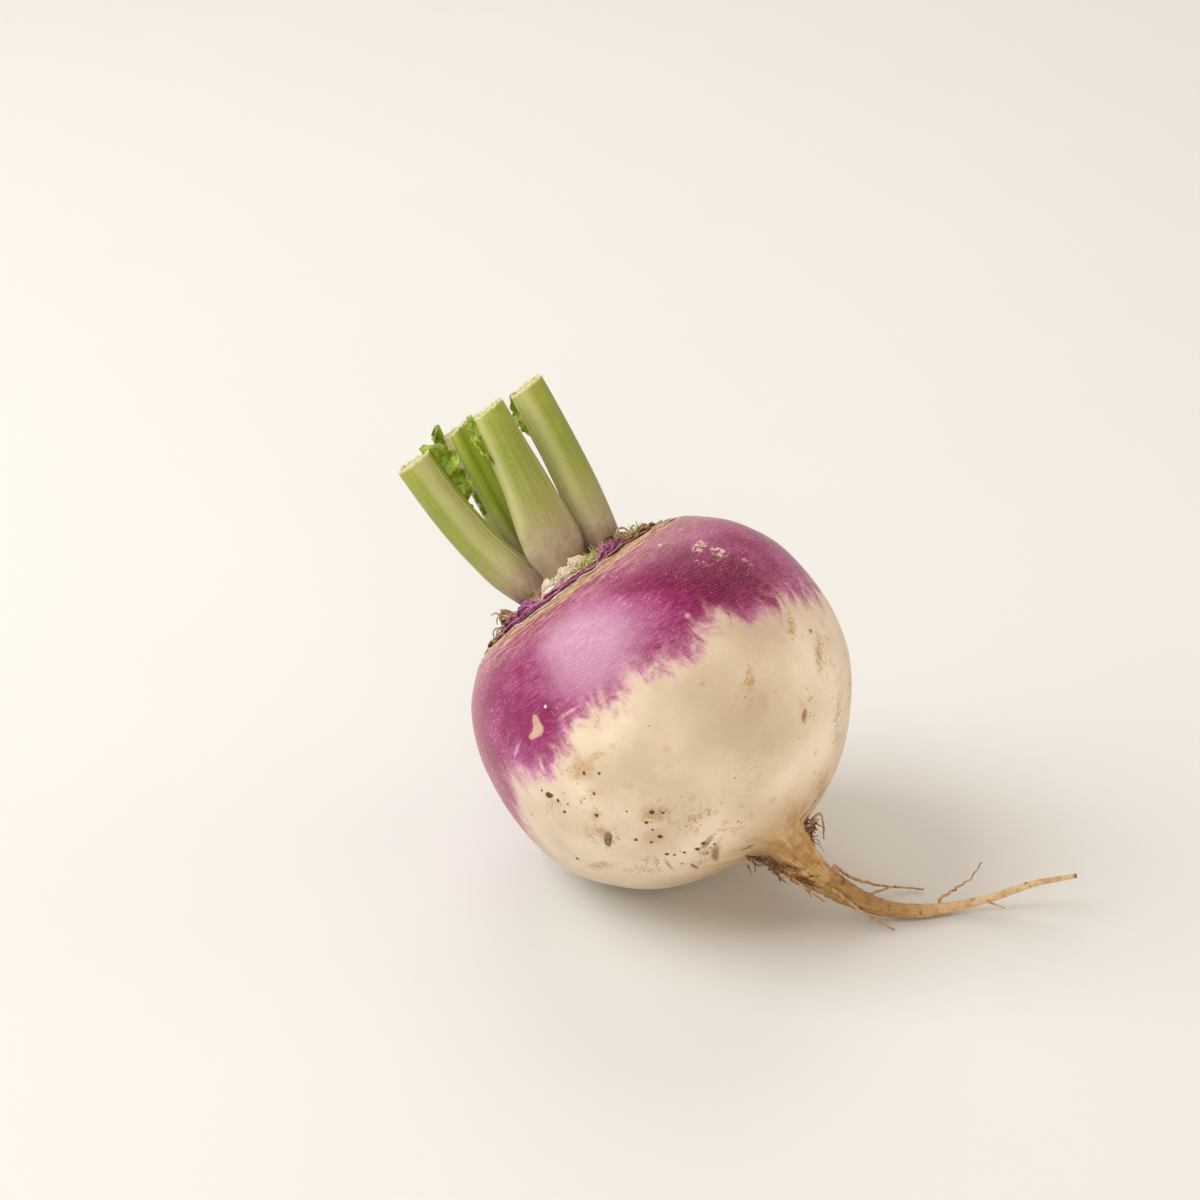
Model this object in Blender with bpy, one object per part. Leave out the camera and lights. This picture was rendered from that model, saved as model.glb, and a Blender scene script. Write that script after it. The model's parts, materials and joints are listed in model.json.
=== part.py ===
# A turnip as sold: the bulb with its tap root, the cut leaf stalks on its crown, and the
# leaf lobes, scales, dry husks and side roots that stay on it.
# Metres, +Z up. The origin is the middle of the flat spot that the bulb rests on.
# The crown points up, back and to the left, and the tap root curls forward along the ground.

import math

import bmesh
import bpy
from mathutils import Matrix, Vector

MM = 0.001
SHARP_ANGLE = math.radians(50)

# The bulb's own frame: +Z from its middle to its crown, +X its front, +Y its right side
BULB_MIDDLE = Vector((2.5, -2.0, 41.1)) * MM
CROWN_HEADING = math.radians(138.2)
CROWN_TILT = math.radians(50.9)
CROWN_ROLL = math.radians(137.6)
CROWN_TIP = math.radians(10)  # the crown sits askew on the bulb, tipped to its front

# Outline of crown and bulb: height along the crown axis, radius, and sideways lean of the bulb
CROWN_TOP = 36.6
CROWN_OUTLINE = ((CROWN_TOP, 5.0), (CROWN_TOP, 13.0), (34.4, 14.8), (33.4, 17.2), (32.9, 20.6),
                 (32.2, 24.4))
BULB_OUTLINE = ((29.8, 29.6, 0.0), (23.0, 36.5, 0.1), (13.5, 41.3, 0.3), (3.0, 42.9, 0.3),
                (-8.0, 42.2, 0.0), (-18.5, 38.8, -0.4), (-27.5, 32.0, -0.4), (-33.4, 24.9, 0.0),
                (-37.1, 17.4, 1.2))
ROOT_SIDES = 36
ROOT_STEPS = 3  # rings between two points of an outline
WAVES = ((2, 0.009, 0.6), (3, 0.007, 2.1), (5, 0.004, 4.0))  # number of waves, height, phase

NECK_SPANS = 2  # spans in which the rings turn from the bulb's axis to the root's own course
# Neck of the tap root in the bulb's frame: front, right, height, radius
NECK = ((0.0, 2.8, -39.6, 9.6), (0.0, 3.5, -41.7, 6.5), (0.0, 3.8, -45.3, 5.15))
# The rest of it along the ground: x and y from the point under the bulb's middle, z, radius
TAP_ROOT = ((32.2, -23.1, 11.3, 4.0), (38.2, -24.0, 7.3, 3.0), (44.0, -25.0, 4.3, 2.35),
            (50.8, -25.5, 2.4, 1.8), (57.8, -25.0, 1.75, 1.55), (64.8, -23.2, 1.6, 1.2),
            (73.3, -22.0, 3.3, 0.95), (82.3, -22.0, 6.9, 0.75), (91.4, -23.4, 9.9, 0.5))

# Leaf stalks in the crown's frame, each bent from its foot through a bend to its cut end
STALK_FOOT = CROWN_TOP + 0.3  # clear of the crown
STALK_SIDES = 14
STALK_STEPS = 9
STALK_TABLE = {
    # name: foot (front, right), bend, cut end, widths at foot, swell and end, depths
    "leaf_stalk_1": ((3.0, -8.0), (3.2, -14.0, 47.5), (3.0, -13.8, 75.9), (9.0, 9.6, 8.0), (10.0, 8.8)),
    "leaf_stalk_2": ((-5.8, -7.0), (-6.0, -6.2, 58.0), (-6.0, -2.6, 76.8), (6.0, 6.2, 5.8), (5.8, 5.8)),
    "leaf_stalk_3": ((10.3, -0.4), (11.4, 4.0, 56.0), (9.5, 6.4, 75.2), (10.4, 13.8, 8.2), (7.0, 7.4)),
    "leaf_stalk_4": ((3.6, 9.6), (3.8, 13.7, 50.0), (3.0, 16.4, 74.9), (9.0, 9.4, 8.4), (9.4, 8.8)),
    "leaf_stalk_5": ((-6.6, 7.6), (-7.8, 13.0, 50.0), (-8.4, 15.4, 74.0), (8.4, 8.8, 7.4), (7.0, 7.2)),
    "leaf_stalk_6": ((-10.4, -0.8), (-12.2, 1.5, 55.0), (-12.4, 5.0, 74.6), (8.0, 8.4, 7.0), (6.8, 7.0)),
}
SWELL_AT = 0.16  # share of a stalk's length where its foot is widest
STALK_TAPER = 1.6  # how soon it narrows above that: a higher power narrows it sooner
CHANNEL = 0.42  # depth of the channel on a stalk's inner side, as a share of its half depth
CHANNEL_WIDTH = 0.42
CHANNEL_REACH = 0.8  # how far a lobe on the inner side goes into the channel
CUT_LEAN = 0.19  # slope of the knife cut, from back to front

END_PART = 0.07  # where the swelling of a lobe or of a crown piece starts and stops

# Leaf lobes left on the stalks: stalk, turn round it, start and end along it, width, thickness
LOBE_GAP = 0.35
LOBE_STEPS = 6
LOBE_SIDES = 8
LOBE_NARROW = 0.25  # width at both ends, as a share of the middle
LOBE_TABLE = {
    "leaf_lobe_1": ("leaf_stalk_1", 185.0, 0.72, 0.99, 4.4, 1.0),
    "leaf_lobe_2": ("leaf_stalk_2", 55.0, 0.80, 1.03, 3.0, 0.9),
    "leaf_lobe_3": ("leaf_stalk_2", 100.0, 0.50, 0.62, 2.2, 0.8),
    "leaf_lobe_4": ("leaf_stalk_3", -90.0, 0.70, 0.99, 2.2, 0.9),
    "leaf_lobe_5": ("leaf_stalk_4", 186.0, 0.78, 1.0, 2.8, 0.9),
}

PIECE_LIFT = 0.45  # clear height of the pieces above the crown's slope
PIECE_SIDES = 8
PIECE_STEP = 8.0  # degrees between two rings of a piece
PIECE_NARROW = 0.3  # size at both ends, as a share of the middle
# Pieces that lie round the crown: start and end angle from the front, radius, width, height
CROWN_PIECES = {
    "stalk_stub": (-30.0, 28.0, 15.9, 2.2, 2.4),
    "leaf_scale_1": (-56.0, -36.0, 17.2, 2.8, 1.6),
    "leaf_scale_2": (-30.0, 10.0, 19.2, 1.8, 0.9),
    "leaf_scale_3": (17.0, 40.0, 18.9, 2.6, 1.5),
    "dry_husk_1": (-104.0, -72.0, 18.6, 3.2, 1.4),
    "dry_husk_2": (46.0, 70.0, 16.8, 2.2, 2.0),
    "dry_husk_3": (100.0, 150.0, 17.0, 2.4, 1.4),
    "dry_husk_4": (170.0, 236.0, 17.0, 2.4, 1.4),
}

# Side roots: the points they pass through, as for the tap root, and the radius they start with
SIDE_ROOTS = {
    "side_root_1": (((38.1, -20.8, 10.9), (41.3, -19.2, 7.2), (45.1, -17.5, 4.5), (49.8, -15.5, 2.1),
                     (54.7, -14.3, 0.9), (59.0, -14.6, 0.6)), 0.5),
    "side_root_2": (((61.4, -22.3, 2.8), (64.0, -20.3, 3.5), (66.2, -19.2, 4.4), (68.9, -18.2, 5.9),
                     (71.2, -16.7, 9.4)), 0.42),
    "side_root_3": (((37.3, -27.6, 8.9), (40.2, -28.5, 6.9), (43.3, -29.1, 4.4), (47.8, -29.5, 1.6),
                     (51.0, -31.1, 0.6)), 0.5),
    "side_root_4": (((46.3, -22.6, 4.7), (49.3, -20.2, 4.2), (52.1, -18.8, 4.4)), 0.4),
    "side_root_5": (((72.7, -23.7, 3.0), (74.0, -24.8, 3.1), (75.4, -26.2, 3.3)), 0.36),
    "side_root_6": (((28.1, -27.7, 12.0), (30.1, -28.4, 10.8), (32.7, -28.9, 8.8), (35.2, -28.8, 6.6)), 0.45),
    "side_root_7": (((33.1, -15.7, 20.0), (35.0, -14.6, 20.5), (35.7, -14.9, 17.6), (35.8, -15.9, 14.6)), 0.4),
}
SIDE_ROOT_SIDES = 6
SIDE_ROOT_STEPS = 3
SIDE_ROOT_TIP = 0.45  # thickness at the tip, as a share of the start
SIDE_ROOT_UP = Vector((0.1, 0.3, 1.0))  # no side root runs along this direction


def clear_scene():
    for thing in list(bpy.data.objects):
        bpy.data.objects.remove(thing, do_unlink=True)


def bulb_frame():
    turn = (Matrix.Rotation(CROWN_HEADING, 4, "Z") @ Matrix.Rotation(CROWN_TILT, 4, "Y")
            @ Matrix.Rotation(CROWN_ROLL, 4, "Z"))
    return Matrix.Translation(BULB_MIDDLE) @ turn


def on_ground(point):
    # From a place measured from the point on the ground under the bulb's middle
    return Vector((BULB_MIDDLE.x, BULB_MIDDLE.y, 0.0)) + Vector(point) * MM


def make_material(name, colour, roughness):
    material = bpy.data.materials.new(name)
    material.use_nodes = True
    shader = material.node_tree.nodes["Principled BSDF"]
    shader.inputs["Base Color"].default_value = (*colour, 1.0)
    shader.inputs["Roughness"].default_value = roughness
    shader.inputs["Metallic"].default_value = 0.0
    material.diffuse_color = (*colour, 1.0)
    return material


def through(points, steps):
    # A smooth curve through the points, with the same number of steps in each span
    points = [Vector(p) for p in points]
    first = points[0] * 2 - points[1]
    last = points[-1] * 2 - points[-2]
    points = [first, *points, last]
    curve = []
    for a, b, c, d in zip(points, points[1:], points[2:], points[3:]):
        for step in range(steps):
            t = step / steps
            curve.append(0.5 * (2 * b + (c - a) * t + (2 * a - 5 * b + 4 * c - d) * t ** 2
                                + (3 * b - a - 3 * c + d) * t ** 3))
    curve.append(points[-2])
    return curve


def place(centre, along, hint, wide, deep):
    # The matrix that lays a unit ring across a direction, with its Y towards the hint
    along = along.normalized()
    side = hint.cross(along).normalized()
    out = along.cross(side)
    turn = Matrix((side, out, along)).transposed().to_4x4()
    return Matrix.Translation(centre) @ turn @ Matrix.Diagonal((wide, deep, 1.0, 1.0))


def loft(rings, sides, section=None):
    # Pull one ring through every place in turn, then close both ends
    bm = bmesh.new()
    verts = bmesh.ops.create_circle(bm, radius=1.0, segments=sides)["verts"]
    for vert in verts:
        vert.co = section(vert.co) if section else vert.co
    bmesh.ops.transform(bm, matrix=rings[0], verts=verts)
    edges = list(bm.edges)
    for before, after in zip(rings, rings[1:]):
        grown = bmesh.ops.extrude_edge_only(bm, edges=edges)["geom"]
        verts = [g for g in grown if isinstance(g, bmesh.types.BMVert)]
        edges = [g for g in grown if isinstance(g, bmesh.types.BMEdge)]
        bmesh.ops.transform(bm, matrix=after @ before.inverted(), verts=verts)
    bmesh.ops.holes_fill(bm, edges=bm.edges, sides=0)
    return bm


def add_piece(bm, name, material):
    bmesh.ops.recalc_face_normals(bm, faces=bm.faces)
    mesh = bpy.data.meshes.new(name)
    bm.to_mesh(mesh)
    bm.free()
    mesh.materials.append(material)
    mesh.shade_smooth()
    mesh.set_sharp_from_angle(angle=SHARP_ANGLE)
    piece = bpy.data.objects.new(name, mesh)
    bpy.context.scene.collection.objects.link(piece)
    return piece


def crown_height(radius):
    # Height of the crown's slope at a distance from its axis
    for (high, inner), (low, outer) in zip(CROWN_OUTLINE, CROWN_OUTLINE[1:]):
        if inner <= radius <= outer:
            return high + (low - high) * (radius - inner) / (outer - inner)
    return CROWN_OUTLINE[-1][0]


def build_root(frame, material):
    axis = frame.to_3x3() @ Vector((0, 0, 1))
    up = Vector((0, 0, 1))
    rings = []
    crown = [(height, radius, 0.0) for height, radius in CROWN_OUTLINE]
    for height, radius, lean in crown + through(BULB_OUTLINE, ROOT_STEPS):
        tip = Matrix.Rotation(CROWN_TIP * max(height / CROWN_TOP, 0.0), 4, "Y")
        centre = frame @ tip @ (Vector((0, lean, height)) * MM)
        along = (frame @ tip).to_3x3() @ Vector((0, 0, -1))
        rings.append(place(centre, along, up, radius * MM, radius * MM))
    neck = [(*(frame @ (Vector(p[:3]) * MM)), p[3] * MM) for p in NECK]
    path = through(neck + [(*on_ground(p[:3]), p[3] * MM) for p in TAP_ROOT], ROOT_STEPS)
    for index, point in enumerate(path):
        ahead = path[min(index + 1, len(path) - 1)].xyz - path[max(index - 1, 0)].xyz
        share = min(index / (NECK_SPANS * ROOT_STEPS), 1.0)
        along = (-axis).lerp(ahead.normalized(), share)
        rings.append(place(point.xyz, along, up, point.w, point.w))
    bm = loft(rings, ROOT_SIDES)
    add_waves(bm, frame)
    everything = list(bm.verts) + list(bm.edges) + list(bm.faces)
    bmesh.ops.bisect_plane(bm, geom=everything, dist=1e-7, plane_co=(0, 0, 0),
                           plane_no=(0, 0, -1), clear_outer=True)  # the flat spot it rests on
    bmesh.ops.holes_fill(bm, edges=bm.edges, sides=0)
    return add_piece(bm, "turnip_root", material)


def add_waves(bm, frame):
    # The bulb isn't quite round: low waves round it, none at the crown or the tap root
    back = frame.inverted()
    fade_out = BULB_OUTLINE[-1][0] * MM
    for vert in bm.verts:
        local = back @ vert.co
        if not fade_out < local.z < BULB_OUTLINE[0][0] * MM:
            continue
        turn = math.atan2(local.y, local.x)
        level = math.sin(math.pi * (local.z - fade_out) / (BULB_OUTLINE[0][0] * MM - fade_out))
        wave = sum(height * math.sin(count * turn + phase) for count, height, phase in WAVES)
        local.xy = local.xy * (1 + wave * level)
        vert.co = frame @ local


def stalk_point(stalk, share):
    # Centre, direction, outward side, half width and half depth at a share of its length
    (foot_x, foot_y), bend, end, widths, depths = STALK_TABLE[stalk]
    foot = Vector((foot_x, foot_y, STALK_FOOT))
    bend = Vector(bend)
    end = Vector(end)
    rest = 1 - share
    centre = foot * rest ** 2 + bend * (2 * rest * share) + end * share ** 2
    along = ((bend - foot) * rest + (end - bend) * share).normalized()
    outward = Vector((bend.x, bend.y, 0)).normalized()
    outward = (outward - along * outward.dot(along)).normalized()
    if share < SWELL_AT:
        width = widths[0] + (widths[1] - widths[0]) * math.sin(math.pi / 2 * share / SWELL_AT)
    else:
        left = max(1 - share, 0) / (1 - SWELL_AT)
        width = widths[2] + (widths[1] - widths[2]) * left ** STALK_TAPER
    depth = depths[0] + (depths[1] - depths[0]) * share
    return centre, along, outward, width / 2, depth / 2


def stalk_section(co):
    # Round on its outer side, flatter with a shallow channel on its inner side
    if co.y >= 0:
        return co
    channel = CHANNEL * math.exp(-((co.x / CHANNEL_WIDTH) ** 2))
    return Vector((co.x, co.y * (1 - channel), 0.0))


def build_stalk(frame, name, material):
    rings = []
    for step in range(STALK_STEPS + 1):
        share = step / STALK_STEPS
        centre, along, outward, wide, deep = stalk_point(name, share)
        if step == 0:
            along = Vector((0, 0, 1))
        if step == STALK_STEPS:
            along = Vector((CUT_LEAN, 0, 1)).normalized()
        rings.append(frame @ place(centre * MM, along, outward, wide * MM, deep * MM))
    bm = loft(rings, STALK_SIDES, stalk_section)
    return add_piece(bm, name, material)


def swelling(share, narrow):
    # Size along a piece that is full in its middle and narrow at both ends
    return narrow + (1 - narrow) * math.sin(math.pi * (END_PART + (1 - 2 * END_PART) * share))


def build_lobe(frame, name, material):
    # A thin blade that stands off its stalk, widest in its middle
    stalk, turn, start, end, width, thick = LOBE_TABLE[name]
    turn = math.radians(turn)
    rings = []
    for step in range(LOBE_STEPS + 1):
        part = step / LOBE_STEPS
        share = start + (end - start) * part
        centre, along, outward, wide, deep = stalk_point(stalk, share)
        side = along.cross(outward)
        away = outward * math.cos(turn) + side * math.sin(turn)
        if math.cos(turn) < 0:
            deep = deep * (1 - CHANNEL_REACH * CHANNEL)
        reach = math.hypot(deep * math.cos(turn), wide * math.sin(turn)) + LOBE_GAP
        swell = swelling(part, LOBE_NARROW)
        half = width / 2 * swell
        middle = centre + away * (reach + half)
        rings.append(frame @ place(middle * MM, along, along.cross(away), half * MM, thick / 2 * MM))
    return add_piece(loft(rings, LOBE_SIDES), name, material)


def build_crown_piece(frame, name, material):
    # A low ridge that follows the crown's slope round part of its axis
    start, end, radius, width, height = CROWN_PIECES[name]
    steps = max(4, round((end - start) / PIECE_STEP))
    inner = crown_height(radius - width / 2)
    outer = crown_height(radius + width / 2)
    slope = Vector((width, outer - inner)).normalized()
    rings = []
    for step in range(steps + 1):
        angle = math.radians(start + (end - start) * step / steps)
        swell = swelling(step / steps, PIECE_NARROW)
        outward = Vector((math.cos(angle), math.sin(angle), 0))
        normal = outward * -slope.y + Vector((0, 0, slope.x))
        foot = outward * radius + Vector((0, 0, crown_height(radius))) + normal * PIECE_LIFT
        centre = foot + normal * (height / 2)
        along = Vector((-math.sin(angle), math.cos(angle), 0))
        ring = place(centre * MM, along, normal, width / 2 * swell * MM, height / 2 * swell * MM)
        rings.append(frame @ ring)
    return add_piece(loft(rings, PIECE_SIDES), name, material)


def build_side_root(name, material):
    points, radius = SIDE_ROOTS[name]
    path = through([on_ground(p) for p in points], SIDE_ROOT_STEPS)
    rings = []
    for index, point in enumerate(path):
        ahead = path[min(index + 1, len(path) - 1)] - path[max(index - 1, 0)]
        size = radius * (1 - (1 - SIDE_ROOT_TIP) * index / (len(path) - 1)) * MM
        rings.append(place(point, ahead, SIDE_ROOT_UP, size, size))
    return add_piece(loft(rings, SIDE_ROOT_SIDES), name, material)


def main():
    clear_scene()
    frame = bulb_frame()
    root = make_material("turnip_skin", (0.58, 0.30, 0.36), 0.42)
    stalk = make_material("stalk_green", (0.29, 0.29, 0.08), 0.45)
    leaf = make_material("leaf_green", (0.12, 0.18, 0.015), 0.5)
    stub = make_material("stub_cream", (0.62, 0.52, 0.33), 0.6)
    scale = make_material("scale_purple", (0.20, 0.03, 0.10), 0.5)
    husk = make_material("husk_tan", (0.42, 0.26, 0.13), 0.8)
    fibre = make_material("side_root_tan", (0.40, 0.24, 0.11), 0.75)

    build_root(frame, root)
    crown = frame @ Matrix.Rotation(CROWN_TIP, 4, "Y")
    for name in STALK_TABLE:
        build_stalk(crown, name, stalk)
    for name in LOBE_TABLE:
        build_lobe(crown, name, leaf)
    for name in CROWN_PIECES:
        kinds = {"stalk": stub, "leaf": scale, "dry": husk}
        build_crown_piece(crown, name, kinds[name.split("_")[0]])
    for name in SIDE_ROOTS:
        build_side_root(name, fibre)


main()
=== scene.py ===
# A purple-topped turnip with cut leaf stalks, finished over its measured parts.
# Lengths in the dictionaries are millimetres, angles are degrees.
import json
import random
from math import atan2, cos, degrees, exp, hypot, pi, radians, sin

import bmesh
import bpy
from mathutils import Matrix, Vector, noise


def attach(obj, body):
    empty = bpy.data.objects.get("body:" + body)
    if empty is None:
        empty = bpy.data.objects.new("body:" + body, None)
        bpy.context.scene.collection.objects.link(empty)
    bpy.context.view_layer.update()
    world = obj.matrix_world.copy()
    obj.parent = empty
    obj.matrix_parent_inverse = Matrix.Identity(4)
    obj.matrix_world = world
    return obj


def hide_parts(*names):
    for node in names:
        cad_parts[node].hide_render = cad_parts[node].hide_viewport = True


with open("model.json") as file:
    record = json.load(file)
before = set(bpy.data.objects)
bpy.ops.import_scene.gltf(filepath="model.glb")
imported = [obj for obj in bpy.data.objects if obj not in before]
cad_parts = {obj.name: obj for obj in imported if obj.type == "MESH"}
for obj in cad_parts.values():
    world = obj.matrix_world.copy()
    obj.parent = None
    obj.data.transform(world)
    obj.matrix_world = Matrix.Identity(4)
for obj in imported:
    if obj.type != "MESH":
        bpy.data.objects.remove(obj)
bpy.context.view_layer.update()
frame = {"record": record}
mm = 0.001
restSpot = Vector(frame["record"]["mounts"][0]["pos_m"])


bulb = {
    "middle": (2.5, -2, 41.1),  # from the rest spot
    "heading": 138.2, "tilt": 50.9, "roll": 137.6,
    "crownTip": 10, "crownTop": 36.6,  # the crown leans to the front of the bulb
    # height along the crown axis, radius, sideways lean, steps to the next
    "stations": ((37.6, 0.6, 0, 4), (37.2, 5, 0, 5), (36.5, 10, 0, 5), (36, 13, 0, 6),
        (34.4, 14.8, 0, 8), (33.4, 17.2, 0, 12), (32.9, 20.6, 0, 16),
        (32.2, 24.4, 0, 34), (29.8, 29.6, 0, 24), (23, 36.5, 0.1, 12),
        (13.5, 41.3, 0.3, 10), (3, 42.9, 0.3, 10), (-8, 42.2, 0, 10),
        (-18.5, 38.8, -0.4, 10), (-27.5, 32, -0.4, 10), (-33.4, 24.9, 0, 12),
        (-37.1, 17.4, 1.2, 14)),
    # neck of the tap root: front, right, height, radius, steps
    "neck": ((0, 2.8, -39.6, 9.6, 8), (0, 3.5, -41.7, 6.5, 10), (0, 3.8, -45.3, 5.15, 16)),
    # the tap root, measured from the ground under the bulb: x, y, z, radius, steps
    "tapRoot": ((32.2, -23.1, 11.3, 4, 14), (38.2, -24, 7.3, 3, 12), (44, -25, 4.3, 2.35, 12),
        (50.8, -25.5, 2.4, 1.8, 12), (57.8, -25, 1.75, 1.55, 12), (64.8, -23.2, 1.6, 1.2, 12),
        (73.3, -22, 3.3, 0.95, 12), (82.3, -22, 6.9, 0.75, 12), (91.4, -23.4, 9.9, 0.5, 1)),
    "sides": 200,
    "waves": ((2, 0.009, 0.6), (3, 0.007, 2.1), (5, 0.004, 4)),
    "lumps": ((0.045, 0.5), (0.13, 0.13), (0.45, 0.035)),  # per mm, height
}


def bulbTurn():
    turns = ((bulb["heading"], "Z"), (bulb["tilt"], "Y"), (bulb["roll"], "Z"))
    heading, tilt, roll = [Matrix.Rotation(radians(turn), 4, axis) for turn, axis in turns]
    return heading @ tilt @ roll


bulbMiddle = restSpot + Vector(bulb["middle"]) * mm
bulbFrame = Matrix.Translation(bulbMiddle) @ bulbTurn()
crownFrame = bulbFrame @ Matrix.Rotation(radians(bulb["crownTip"]), 4, "Y")


def onGround(point):
    # A place measured from the ground under the bulb's middle
    return Vector((bulbMiddle.x, bulbMiddle.y, restSpot.z)) + Vector(point) * mm


def smoothStep(low, high, value):
    share = min(max((value - low) / (high - low), 0), 1)
    return share * share * (3 - 2 * share)


def hump(value, middle, width):
    return exp(-((value - middle) / width) ** 2)


def through(points, steps):
    # A smooth curve through the points; steps is one number, or one for each span
    points = [Vector(p) for p in points]
    ends = [points[0] * 2 - points[1], *points, points[-1] * 2 - points[-2]]
    counts = [steps] * (len(points) - 1) if isinstance(steps, int) else steps
    curve = []
    for index, count in zip(range(len(points) - 1), counts):
        a, b, c, d = ends[index:index + 4]
        for step in range(count):
            t = step / count
            curve.append((b * 2 + (c - a) * t + (a * 2 - b * 5 + c * 4 - d) * t ** 2
                + (b * 3 - a - c * 3 + d) * t ** 3) * 0.5)
    return curve + [points[-1]]


def ringPlace(centre, along, hint, wide, deep):
    # Lays a unit ring across a direction, with its Y towards the hint
    along = along.normalized()
    side = hint.cross(along).normalized()
    turn = Matrix((side, along.cross(side), along)).transposed().to_4x4()
    return Matrix.Translation(centre) @ turn @ Matrix.Diagonal((wide, deep, 1, 1))


def ripple(x, y, z):
    return noise.noise(Vector((x, y, z)))


def jitter(chance, amount):
    return Vector([chance.uniform(-amount, amount) for axis in range(3)])


def newMesh():
    bm = bmesh.new()
    layers = {"place": bm.verts.layers.float_vector.new("ringPlace")}
    for name in ("level", "share", "edge"):
        layers[name] = bm.verts.layers.float.new(name)
    return bm, layers


def loft(bm, rings, sides):
    # Pulls one circle through every ring, closes both ends, gives the verts of each ring
    verts = bmesh.ops.create_circle(bm, radius=1, segments=sides)["verts"]
    edges = list(dict.fromkeys(edge for vert in verts for edge in vert.link_edges))
    bmesh.ops.transform(bm, matrix=rings[0], verts=verts)
    ringVerts = [verts]
    ends = list(edges)
    for before, after in zip(rings, rings[1:]):
        grown = bmesh.ops.extrude_edge_only(bm, edges=edges)["geom"]
        verts = [g for g in grown if isinstance(g, bmesh.types.BMVert)]
        edges = [g for g in grown if isinstance(g, bmesh.types.BMEdge)]
        bmesh.ops.transform(bm, matrix=after @ before.inverted(), verts=verts)
        ringVerts.append(verts)
    bmesh.ops.holes_fill(bm, edges=ends + edges, sides=0)
    return ringVerts


def shapeRings(rings, ringVerts, section):
    # section(ring, angle, vert) gives the new place in the ring's own frame
    for index, (matrix, verts) in enumerate(zip(rings, ringVerts)):
        back = matrix.inverted()
        for vert in verts:
            local = back @ vert.co
            vert.co = matrix @ section(index, atan2(local.y, local.x), vert)


def addTube(bm, layers, path, radii, sides=7):
    # A thin root or fibre along a path that is in metres
    rings = []
    for index, point in enumerate(path):
        ahead = path[min(index + 1, len(path) - 1)] - path[max(index - 1, 0)]
        size = radii[index] * mm
        rings.append(ringPlace(point, ahead, Vector((0.13, 0.31, 0.94)), size, size))
    ringVerts = loft(bm, rings, sides)
    for index, verts in enumerate(ringVerts):
        for vert in verts:
            vert[layers["share"]] = index / (len(path) - 1)
    return ringVerts


def tapered(thick, drop, path):
    # Radii that lose a share of the first along a path
    return [thick * (1 - drop * step / len(path)) for step in range(len(path))]


def gridSheet(bm, layers, across, along, shape):
    # A grid laid out by shape(u, v), both from 0 to 1
    verts = bmesh.ops.create_grid(bm, x_segments=across, y_segments=along, size=0.5)["verts"]
    for vert in verts:
        u, v = vert.co.x + 0.5, vert.co.y + 0.5
        vert[layers["place"]] = (u, v, 0)
        vert[layers["share"]] = u
        vert[layers["edge"]] = v
        vert.co = shape(u, v)
    return verts


def addObject(name, data):
    added = bpy.data.objects.new(name, data)
    bpy.context.scene.collection.objects.link(added)
    return added


def finishPiece(bm, name, material, nodes=(), thickness=0):
    if not thickness:
        bmesh.ops.recalc_face_normals(bm, faces=bm.faces)
    mesh = bpy.data.meshes.new(name)
    bm.to_mesh(mesh)
    bm.free()
    mesh.materials.append(material)
    mesh.shade_smooth()
    piece = addObject(name, mesh)
    if thickness:
        wall = piece.modifiers.new("wall", "SOLIDIFY")
        wall.thickness = thickness * mm
        wall.offset = 0
    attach(piece, "root")
    if nodes:
        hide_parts(*nodes)
    return piece


class Value:
    # A shader value that takes part in sums
    def __init__(self, socket):
        self.socket = socket

    def __add__(self, other):
        return calc("ADD", self, other)

    def __sub__(self, other):
        return calc("SUBTRACT", self, other)

    def __rsub__(self, other):
        return calc("SUBTRACT", other, self)

    def __mul__(self, other):
        return calc("MULTIPLY", self, other)

    def __truediv__(self, other):
        return calc("DIVIDE", self, other)


def addNode(tree, kind, inputs=None, **settings):
    node = tree.nodes.new("ShaderNode" + kind)
    for name, value in settings.items():
        setattr(node, name, value)
    for key, value in (inputs or {}).items():
        if isinstance(value, Value):
            tree.links.new(value.socket, node.inputs[key])
        else:
            node.inputs[key].default_value = value
    return node


def results(tree, kind, inputs=None, **settings):
    # Adds a node and gives its outputs by name
    return {socket.name: Value(socket) for socket in addNode(tree, kind, inputs, **settings).outputs}


def made(kind, inputs, output=0, **settings):
    # Adds a node beside the values it takes and gives one of its outputs
    tree = next(value.socket.id_data for value in inputs.values() if isinstance(value, Value))
    return Value(addNode(tree, kind, inputs, **settings).outputs[output])


def calc(operation, *values):
    return made("Math", dict(enumerate(values)), operation=operation)


def vectorCalc(operation, *values):
    return made("VectorMath", dict(enumerate(values)), operation=operation)


def ranged(value, low, high, toLow=0, toHigh=1, shape="SMOOTHSTEP"):
    inputs = {"Value": value, "From Min": low, "From Max": high, "To Min": toLow, "To Max": toHigh}
    return made("MapRange", inputs, interpolation_type=shape)


def paint(mask, under, over):
    # over is laid on under where the mask is 1
    under, over = [value if isinstance(value, Value) else (*value, 1) for value in (under, over)]
    return made("Mix", {0: mask, 6: under, 7: over}, 2, data_type="RGBA")


def layered(colour, coats):
    # Lays coats of colour over one another, each with its own mask
    for mask, tint in coats:
        colour = paint(mask, colour, tint)
    return colour


def ramp(value, stops):
    node = addNode(value.socket.id_data, "ValToRGB", {"Fac": value})
    marks = node.color_ramp.elements
    while len(marks) < len(stops):
        marks.new(0.5)
    for mark, (position, colour) in zip(marks, stops):
        mark.position = position
        mark.color = (*colour, 1)
    return Value(node.outputs["Color"])


def clouds(vector, scale, detail=3, rough=0.55, distortion=0):
    inputs = {"Vector": vector, "Scale": scale, "Detail": detail, "Roughness": rough,
        "Distortion": distortion}
    return made("TexNoise", inputs, "Fac")


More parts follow.
